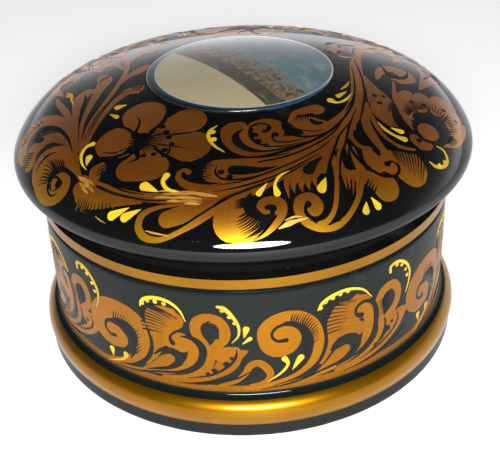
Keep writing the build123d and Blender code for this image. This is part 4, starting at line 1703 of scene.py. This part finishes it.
@dataclass(frozen=True)
class FlatPaint:
    """Opaque brush paint under lacquer."""

    name: str
    thin: Colour
    full: Colour
    rough: float
    metallic: float = 0.0

    def build(self, shared: SharedEffects) -> Material:
        """Makes the material.

        Args:
            shared: the shader groups that finishes use.

        Returns:
            The material.
        """
        material, graph, surface = new_material(self.name)
        brush = graph.add("ShaderNodeGroup", node_tree=shared.streaks)
        body = graph.plus(graph.times(brush.outputs["Streak"], 0.75),
                          graph.times(brush.outputs["Tone"], 0.25))
        tone = graph.blend(graph.spread(body, 0.3, 0.65), self.thin, self.full)
        rough = graph.spread(brush.outputs["Powder"], 0.2, 0.8, self.rough - 0.05, self.rough + 0.08)
        graph.feed_all(surface, {
            "Base Color": tone, "Metallic": self.metallic, "Roughness": rough,
            "Normal": brush.outputs["Normal"],
            "Specular IOR Level": 0.0, "Coat Weight": 0.5, "Coat Roughness": 0.04,
        })
        return material


@dataclass(frozen=True)
class MedallionPrint:
    """A small printed landscape: plain ground, a dark bank, a row of roofs and a hazy sky."""

    name: str = "medallion_print"
    off_centre: float = 0.0013
    lean: Pair = (0.829, 0.559)
    house_width: float = 3.4
    bank_level: float = -3.6
    water_level: float = -6.6
    plain_level: float = -9.2
    ring: tuple[float, float, float] = (28.2, 28.7, 29.7)

    def build(self, shared: SharedEffects) -> Material:
        """Makes the material.

        Args:
            shared: the shader groups that finishes use.

        Returns:
            The material.
        """
        material, graph, surface = new_material(self.name)
        spot = graph.place()
        x, y, _ = graph.split(spot)
        x = graph.minus(x, self.off_centre)
        cos, sin = self.lean
        up = graph.times(graph.plus(graph.times(x, cos), graph.times(y, sin)), 1000.0)
        side = graph.times(graph.minus(graph.times(x, sin), graph.times(y, cos)), 1000.0)
        rough_edge = graph.times(graph.minus(graph.noise(spot, 900.0, 3.0), 0.5), 1.2)
        bow = graph.times(graph.times(side, side), 0.0016)
        level = graph.plus(up, bow)
        # roofs: a stepped height along the row, each step one plain house
        blur = graph.noise(spot, 700.0, 3.0, 0.6)
        loose = graph.plus(side, graph.times(graph.minus(blur, 0.5), 2.4))
        step = graph.math("FLOOR", graph.over(loose, self.house_width))
        house = graph.add("ShaderNodeTexWhiteNoise", {"Vector": graph.vector(step, 4.0, 0.0)},
                          noise_dimensions="3D")
        inside = graph.math("ABSOLUTE", graph.minus(graph.math("FRACT",
            graph.over(loose, self.house_width)), 0.5))
        roof = graph.plus(graph.minus(graph.times(house.outputs["Value"], 6.0), graph.times(inside, 4.0)),
                          graph.times(blur, 3.0))
        hill = graph.times(graph.noise(graph.vector(graph.times(side, 0.05), 0.0, 0.0), 2.0, 3.0), 7.0)
        skyline = graph.minus(roof, 0.6)
        sky = graph.ramp(graph.spread(level, 0.0, 26.0), (0.0, (0.2, 0.27, 0.26)),
                         (0.35, (0.09, 0.18, 0.2)), (1.0, (0.05, 0.12, 0.16)))
        drift = graph.noise(graph.vector(graph.times(side, 0.6), level, 0.0), 0.16, 4.0, 0.6)
        clouds = graph.blend(graph.spread(drift, 0.5, 0.75, 0.0, 0.5), sky, (0.42, 0.45, 0.4))
        far = graph.blend(graph.below(level, graph.plus(hill, 2.0)), clouds, (0.16, 0.18, 0.16))
        patch = graph.spread(graph.noise(spot, 520.0, 5.0, 0.75), 0.38, 0.66)
        walls = graph.blend(patch, (0.035, 0.03, 0.02), (0.42, 0.31, 0.17))
        panes = graph.add("ShaderNodeTexBrick", {"Vector": graph.vector(side, level, 0.0), "Scale": 1.0,
            "Mortar Size": 0.12,
                                                  "Brick Width": 0.8, "Row Height": 0.7}).outputs["Fac"]
        fronts = graph.blend(graph.times(graph.minus(1.0, panes), 0.55), walls, (0.05, 0.045, 0.04))
        town = graph.blend(graph.below(level, skyline), far, fronts)
        bank_tone = graph.blend(graph.noise(spot, 420.0, 5.0, 0.7), (0.02, 0.02, 0.018), (0.13, 0.11, 0.07))
        bank = graph.blend(graph.below(graph.plus(level, rough_edge), self.bank_level), town, bank_tone)
        ripple = graph.noise(graph.vector(graph.times(side, 0.12), graph.times(level, 1.4), 0.0), 1.0, 2.0)
        glint = graph.spread(ripple, 0.55, 0.7, 0.0, 0.5)
        water = graph.blend(graph.times(graph.below(level, self.water_level), glint), bank, (0.3, 0.32, 0.28))
        ground = graph.blend(graph.noise(spot, 160.0, 3.0), (0.44, 0.38, 0.22), (0.55, 0.48, 0.3))
        plain = graph.blend(graph.below(level, self.plain_level), water, ground)
        reach = graph.times(graph.math("SQRT", graph.plus(graph.times(x, x), graph.times(y, y))), 1000.0)
        # painted highlight: a pale ring inside the dark edge, reaching the disc's edge at the right, stands
        # for light caught on the rim
        rim_highlighted = graph.blend(graph.times(graph.above(reach, self.ring[0]), 0.8), plain, (0.4, 0.43, 0.42))
        edged = graph.blend(graph.above(reach, self.ring[1]), rim_highlighted, (0.008, 0.03, 0.06))
        rimmed = graph.blend(graph.above(reach, self.ring[2]), edged, (0.002, 0.002, 0.002))
        dots = graph.times(graph.spread(graph.noise(spot, 5200.0, 1.0), 0.4, 0.6), 0.14)
        printed = graph.blend(dots, rimmed, (0.09, 0.1, 0.09))
        skin = graph.add("ShaderNodeGroup", {"Relief": 0.12}, node_tree=shared.lacquer)
        rough = graph.spread(skin.outputs["Smudge"], 0.0, 1.0, 0.22, 0.32)
        graph.feed_all(surface, {
            "Base Color": printed, "Roughness": rough, "Normal": skin.outputs["Normal"],
            "Coat Weight": 1.0, "Coat Roughness": 0.05,
        })
        return material


@dataclass(frozen=True)
class PaleFloor:
    """Plain pale board."""

    name: str = "pale_floor"

    def build(self) -> Material:
        """Makes the material.

        Returns:
            The material.
        """
        material, graph, surface = new_material(self.name)
        spot = graph.place()
        tone = graph.blend(graph.noise(spot, 9.0, 4.0), (0.86, 0.86, 0.86), (0.9, 0.9, 0.9))
        white = (1.0, 1.0, 1.0, 1.0)
        graph.feed_all(surface, {
            "Base Color": tone, "Roughness": 0.6, "Emission Color": white, "Emission Strength": 0.5,
        })
        return material


@dataclass
class Palette:
    """Every finish in the scene."""

    shared: SharedEffects = field(default_factory=SharedEffects)
    made: dict[str, Material] = field(default_factory=dict)

    def build(self) -> "Palette":
        """Makes all the materials.

        Returns:
            This palette.
        """
        for finish in (
            Lacquer("lid_lacquer", (0.0016, 0.0018, 0.0016), dust=0.5, rough=0.07, wear_height=0.053,
                    wear_reach=0.0008, wear=0.35, coat=0.8, painted_shade_height=0.06, painted_shade_reach=0.0095),
            Lacquer("bowl_lacquer", (0.004, 0.006, 0.005), dust=0.5, rough=0.09, wear_height=0.0,
                    wear_reach=0.0012, wear=0.7, coat=0.42, painted_shade_height=0.0526),
            GoldPaint("gold_paint", (0.23, 0.065, 0.008), (0.54, 0.175, 0.016), metallic=0.75, rough=0.38,
                      coat=0.42, painted_highlight_below=0.08),
            GoldPaint("frieze_gold", (0.25, 0.085, 0.001), (0.46, 0.18, 0.002), metallic=0.7, rough=0.42,
                      coat=0.15),
            GoldPaint("band_gold", (0.24, 0.095, 0.001), (0.52, 0.25, 0.003), metallic=0.85, rough=0.34,
                      coat=0.25),
            GoldPaint("lining_gold", (0.36, 0.12, 0.01), (0.56, 0.22, 0.02), metallic=0.6, rough=0.45,
                      coat=0.4),
            FlatPaint("black_line", (0.006, 0.006, 0.005), (0.002, 0.002, 0.002), rough=0.3),
            FlatPaint("yellow_paint", (0.34, 0.22, 0.02), (0.72, 0.47, 0.02), rough=0.42),
            FlatPaint("pale_gold", (0.45, 0.17, 0.02), (0.8, 0.42, 0.08), rough=0.4, metallic=0.6),
            MedallionPrint(),
        ):
            self.made[finish.name] = finish.build(self.shared)
            log.info("finish %s", finish.name)
        self.made["pale_floor"] = PaleFloor().build()
        return self


# ---------------------------------------------------------------- pieces


BAND_COAT = 0.04
BAND_SINK = 0.12
LINING_SINK = 0.1
LEAF_COAT = 0.05
STROKE_SINK = 0.12
LIFT_ROUNDS = 12
LIFT_STEP = 0.0022
LINE_FACETS = 2


@dataclass
class Workshop:
    """Turns outlines and strokes into finished pieces and parents each to its body."""

    palette: Palette
    turning: Tree
    brushing: Tree

    def turn(self, name: str, outline: Outline, finish: str, body: str, slot: str, replaces: str = "",
             steps: int = 192, waver: float = 0.0, step: float = 2.0) -> Thing:
        """Makes a turned piece.

        Args:
            name: the piece's name.
            outline: its section, in millimetres.
            finish: the material's name.
            body: the CAD body it rides on.
            slot: not used.
            replaces: the CAD node it stands for, if any.
            steps: how many sides the circle has.
            waver: how far its height wanders round the circle, in millimetres.
            step: the longest run between points of the section.

        Returns:
            The piece.
        """
        points = [(x * MM, 0.0, z * MM) for x, z in outline.even(step).points]
        base = point_mesh(name + "_outline", points, True)
        piece = grown(name, base, self.turning, {"Steps": steps, "Waver": waver * MM,
            "Finish": self.palette.made[finish]})
        return self.hand_over(piece, body, replaces)

    def paint(self, name: str, strokes: Iterable[Stroke], face: Thing, spots: Thing, finish: str, body: str,
              coat: float, rolled: Pair | None = None, across: int = 6,
              step: float = 0.8,
              unsteady: float = 0.25) -> Thing | None:
        """Lays strokes on a face.

        Args:
            name: the piece's name.
            strokes: the strokes, in millimetres on the plan.
            face: the curve the face is turned from.
            spots: points where the set is repeated on the plan.
            finish: the material's name.
            body: the CAD body it rides on.
            coat: how far the paint stands above the face, in millimetres.
            rolled: (radius, top) for a rolled wall, or None for a plan about the axis.
            across: how many facets the brush has across.
            step: the distance between points along a stroke.
            unsteady: how far the hand wanders, in millimetres.

        Returns:
            The piece, or None if there are no strokes.
        """
        lines = []
        # each stroke stands a little above the one before, so that no two coats share a face
        for index, stroke in enumerate(strokes):
            lift = (index % LIFT_ROUNDS) * LIFT_STEP
            lines.append([(x * MM, y * MM, lift * MM, w * MM) for x, y, w in stroke.samples(step)])
        if not lines:
            return None
        drawn = poly_curve(name + "_strokes", lines)
        radius, top = rolled or (1.0, 0.0)
        values = {
            "Strokes": drawn, "Face": face, "Spots": spots, "Across": across, "Coat": coat * MM,
            "Sink": STROKE_SINK * MM,
            "Rolled": 1.0 if rolled else 0.0, "Roll Radius": radius * MM, "Roll Top": top * MM,
            "Unsteady": unsteady * MM, "Finish": self.palette.made[finish],
        }
        piece = grown(name, point_mesh(name + "_base", [(0.0, 0.0, 0.0)], False), self.brushing, values)
        bpy.data.objects.remove(drawn)
        return self.hand_over(piece, body)

    def hand_over(self, piece: Thing, body: str, replaces: str = "") -> Thing:
        """Gives a piece to its body and logs it.

        Args:
            piece: the piece.
            body: the CAD body it rides on.
            replaces: the CAD node it stands for, if any.

        Returns:
            The piece.
        """
        if replaces:
            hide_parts(replaces)
        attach(piece, body)
        log.info("piece %s: %d faces", piece.name, len(piece.data.polygons))
        return piece


# the coats over the gold: the piece's name, its finish, its slot and how far it stands up, in millimetres
FINE_LAYERS = {
    Layer.LINE: ("lines", "black_line", "black_line", 0.085),
    Layer.YELLOW: ("accents", "yellow_paint", "yellow_paint", 0.1),
    # the pale dashes over the gold have a coat of their own
    Layer.PALE: ("ties", "pale_gold", "yellow_paint", 0.115),
}


@dataclass
class Bowl:
    """The bowl, its gold bands, its lining and its frieze."""

    form: BoxForm
    frieze_turns: tuple[float, ...] = (0.0, 93.0, 179.0, -90.0)
    band_run: Pair = (3.1, 11.9)
    ground_band: Pair = (17.0, 14.6)

    def build(self, shop: Workshop) -> None:
        """Makes the turned pieces.

        Args:
            shop: what makes the pieces.
        """
        form = self.form
        shop.turn("bowl_shell", form.bowl_whole(), "bowl_lacquer", "bowl", "bowl_lacquer", replaces="bowl")
        lining = form.bowl_inside()
        shop.turn("bowl_lining", Outline(lining.points[:-2]).skin(BAND_COAT, LINING_SINK), "lining_gold",
                  "bowl", "gold_paint")
        roll = form.foot_roll().even(0.4)
        shop.turn("foot_band", roll.between(*self.band_run).skin(BAND_COAT, BAND_SINK), "band_gold", "bowl",
                  "gold_paint", waver=0.25, step=0.5)
        ground = Outline([(form.wall_radius, height) for height in self.ground_band])
        shop.turn("frieze_ground_band", ground.skin(BAND_COAT, BAND_SINK), "frieze_gold", "bowl",
                  "gold_paint", waver=0.5)

    def dress(self, shop: Workshop) -> None:
        """Paints the frieze.

        Args:
            shop: what makes the pieces.
        """
        form = self.form
        top = form.seat_height - form.shoulder_round
        face = poly_curve("wall_face", [[(form.wall_radius * MM, 0, top * MM, 1),
            (form.wall_radius * MM, 0, 12 * MM, 1)]])
        per_degree = math.radians(form.wall_radius)
        spots = point_mesh("frieze_spots", [(turn * per_degree * MM, 0, 0) for turn in self.frieze_turns],
                           False)
        strokes = [stroke.rolled(per_degree) for stroke in frieze_high() + frieze_low()]
        rolled = (form.wall_radius, top)
        golds = of_layer(strokes, Layer.GOLD)
        shop.paint("frieze_leaves", golds, face, spots, "frieze_gold", "bowl", LEAF_COAT,
                   rolled, step=1.0)
        for layer, (part, finish, slot, coat) in FINE_LAYERS.items():
            chosen = of_layer(strokes, layer)
            shop.paint("frieze_" + part, chosen, face, spots, finish, "bowl", coat, rolled,
                       LINE_FACETS, 1.0)
        for helper in (face, spots):
            bpy.data.objects.remove(helper)


@dataclass
class Lid:
    """The lid, its band, lining and painting, and its medallion."""

    form: BoxForm

    def build(self, shop: Workshop) -> None:
        """Makes the turned pieces.

        Args:
            shop: what makes the pieces.
        """
        form = self.form
        shop.turn("lid_shell", form.lid_whole(), "lid_lacquer", "lid", "lid_lacquer", replaces="lid",
                  steps=224)
        ceiling = form.lid_ceiling()
        shop.turn("lid_lining", ceiling.skin(BAND_COAT, LINING_SINK), "lining_gold", "lid", "gold_paint")
        side = Outline([(form.skirt_radius, form.neck_height - 1.7),
                        (form.skirt_radius, form.seat_height + 0.5)])
        shop.turn("skirt_band", side.skin(BAND_COAT, BAND_SINK), "band_gold", "lid", "gold_paint", waver=0.12)
        shop.turn("medallion_disc", form.medallion_whole(), "medallion_print", "lid", "medallion_print",
                  replaces="medallion")

    def dress(self, shop: Workshop) -> None:
        """Paints the dome.

        Args:
            shop: what makes the pieces.
        """
        points = [(x * MM, 0.0, z * MM, 1.0) for x, z in self.form.lid_face().even(0.5).points]
        face = poly_curve("dome_face", [points])
        spots = point_mesh("dome_spot", [(0.0, 0.0, 0.0)], False)
        groups = {
            "stem": main_stem(), "leaves": inner_leaves() + outer_leaves() + front_leaf() + front_left(),
            "flowers": five_petal_flower() + pomegranate(), "scrolls": left_scroll() + left_fan(),
            "garland": rear_garland(),
        }
        for part, strokes in groups.items():
            golds = of_layer(strokes, Layer.GOLD)
            shop.paint("lid_" + part, golds, face, spots, "gold_paint", "lid", LEAF_COAT)
        every = [stroke for strokes in groups.values() for stroke in strokes] + lid_accents()
        for layer, (part, finish, slot, coat) in FINE_LAYERS.items():
            chosen = of_layer(every, layer)
            shop.paint("lid_" + part, chosen, face, spots, finish, "lid", coat, across=LINE_FACETS)
        for helper in (face, spots):
            bpy.data.objects.remove(helper)


# ---------------------------------------------------------------- studio


@dataclass(frozen=True)
class Studio:
    """The camera, the lights, the surroundings and the floor."""

    distance: float = 0.35235
    elevation: float = 32.0
    roll: float = -2.62
    aside: float = 0.00105
    aim_height: float = 0.03196
    lens: float = 72.0
    sensor: float = 36.0
    floor_reach: float = 4.0
    room_strength: float = 2.3

    def build(self, palette: Palette) -> None:
        """Sets up everything that isn't the box.

        Args:
            palette: the finishes.
        """
        self.place_camera()
        self.lay_floor(palette)
        self.light_surroundings()
        bpy.context.scene.view_settings.view_transform = "Standard"
        self.add_panel("front_strip", (2.0, 25.0), 0.9, (0.5, 0.12), 14.0)

    def place_camera(self) -> None:
        """Makes the camera."""
        tilt, roll = math.radians(self.elevation), math.radians(self.roll)
        forward = Vector((0.0, math.cos(tilt), -math.sin(tilt)))
        right, up = Vector((1.0, 0.0, 0.0)), Vector((0.0, math.sin(tilt), math.cos(tilt)))
        across = right * math.cos(roll) + up * math.sin(roll)
        over = up * math.cos(roll) - right * math.sin(roll)
        place = -forward * self.distance + across * self.aside + Vector((0.0, 0.0, self.aim_height))
        data = bpy.data.cameras.new("camera")
        data.lens, data.sensor_width = self.lens, self.sensor
        data.clip_start, data.clip_end = 0.01, 30.0
        camera = linked("camera", data)
        turn = Matrix((across, over, -forward)).transposed().to_4x4()
        camera.matrix_world = Matrix.Translation(place) @ turn
        bpy.context.scene.camera = camera

    def lay_floor(self, palette: Palette) -> None:
        """Makes the floor.

        Args:
            palette: the finishes.
        """
        mesh = bpy.data.meshes.new("floor")
        reach = self.floor_reach
        mesh.from_pydata([(-reach, -reach, 0), (reach, -reach, 0), (reach, reach, 0), (-reach, reach, 0)],
                         [], [(0, 1, 2, 3)])
        mesh.materials.append(palette.made["pale_floor"])
        floor = linked("floor", mesh)

    def light_surroundings(self) -> None:
        """Lights the room: bright behind near the horizon, dim overhead."""
        world = bpy.data.worlds.new("room")
        bpy.context.scene.world = world
        world.use_nodes = True
        world.node_tree.nodes.clear()
        graph = Graph(world.node_tree)
        way = graph.add("ShaderNodeTexCoord").outputs["Generated"]
        x, y, z = graph.split(way)
        height = graph.spread(z, -0.1, 1.0)
        behind = graph.spread(graph.plus(y, graph.times(x, 0.4)), 0.1, 0.85)
        back = graph.ramp(height, *((place, (level, level, level * 1.02)) for place, level in (
            (0.0, 0.7), (0.15, 0.8), (0.2, 0.6), (0.26, 0.36), (0.34, 0.2), (0.49, 0.08), (0.62, 0.02),
            (0.8, 0.006))))
        front = graph.ramp(height, *((place, (level, level, level)) for place,
            level in ((0.0, 0.09), (0.3, 0.04), (0.7, 0.01))))
        tone = graph.blend(behind, front, back)
        shade = graph.add("ShaderNodeBackground", {"Color": tone, "Strength": self.room_strength})
        output = graph.add("ShaderNodeOutputWorld")
        graph.tree.links.new(shade.outputs[0], output.inputs["Surface"])

    def add_panel(self, name: str, way: Pair, distance: float, size: Pair, power: float) -> None:
        """Adds a soft oval light.

        Args:
            name: the light's name.
            way: (degrees round from the front, degrees up) it shines from.
            distance: how far it is from the box.
            size: its width and height.
            power: its power in watts.
        """
        data = bpy.data.lights.new(name, "AREA")
        data.shape, data.size, data.size_y, data.energy = "ELLIPSE", size[0], size[1], power
        lamp = linked(name, data)
        around, up = math.radians(way[0]), math.radians(way[1])
        back = Vector((math.sin(around) * math.cos(up), -math.cos(around) * math.cos(up), math.sin(up)))
        lamp.location = back * distance + Vector((0, 0, 0.05))
        lamp.rotation_euler = back.to_track_quat("Z", "Y").to_euler()


def main() -> None:
    """Builds the box and its studio."""
    logging.basicConfig(level=logging.INFO, format="%(message)s")
    form = BoxForm()
    palette = Palette().build()
    shop = Workshop(palette, turned_tree(), brushwork_tree())
    for part in (Bowl(form), Lid(form)):
        part.build(shop)
        part.dress(shop)
    Studio().build(palette)


if __name__ == "__main__":
    main()
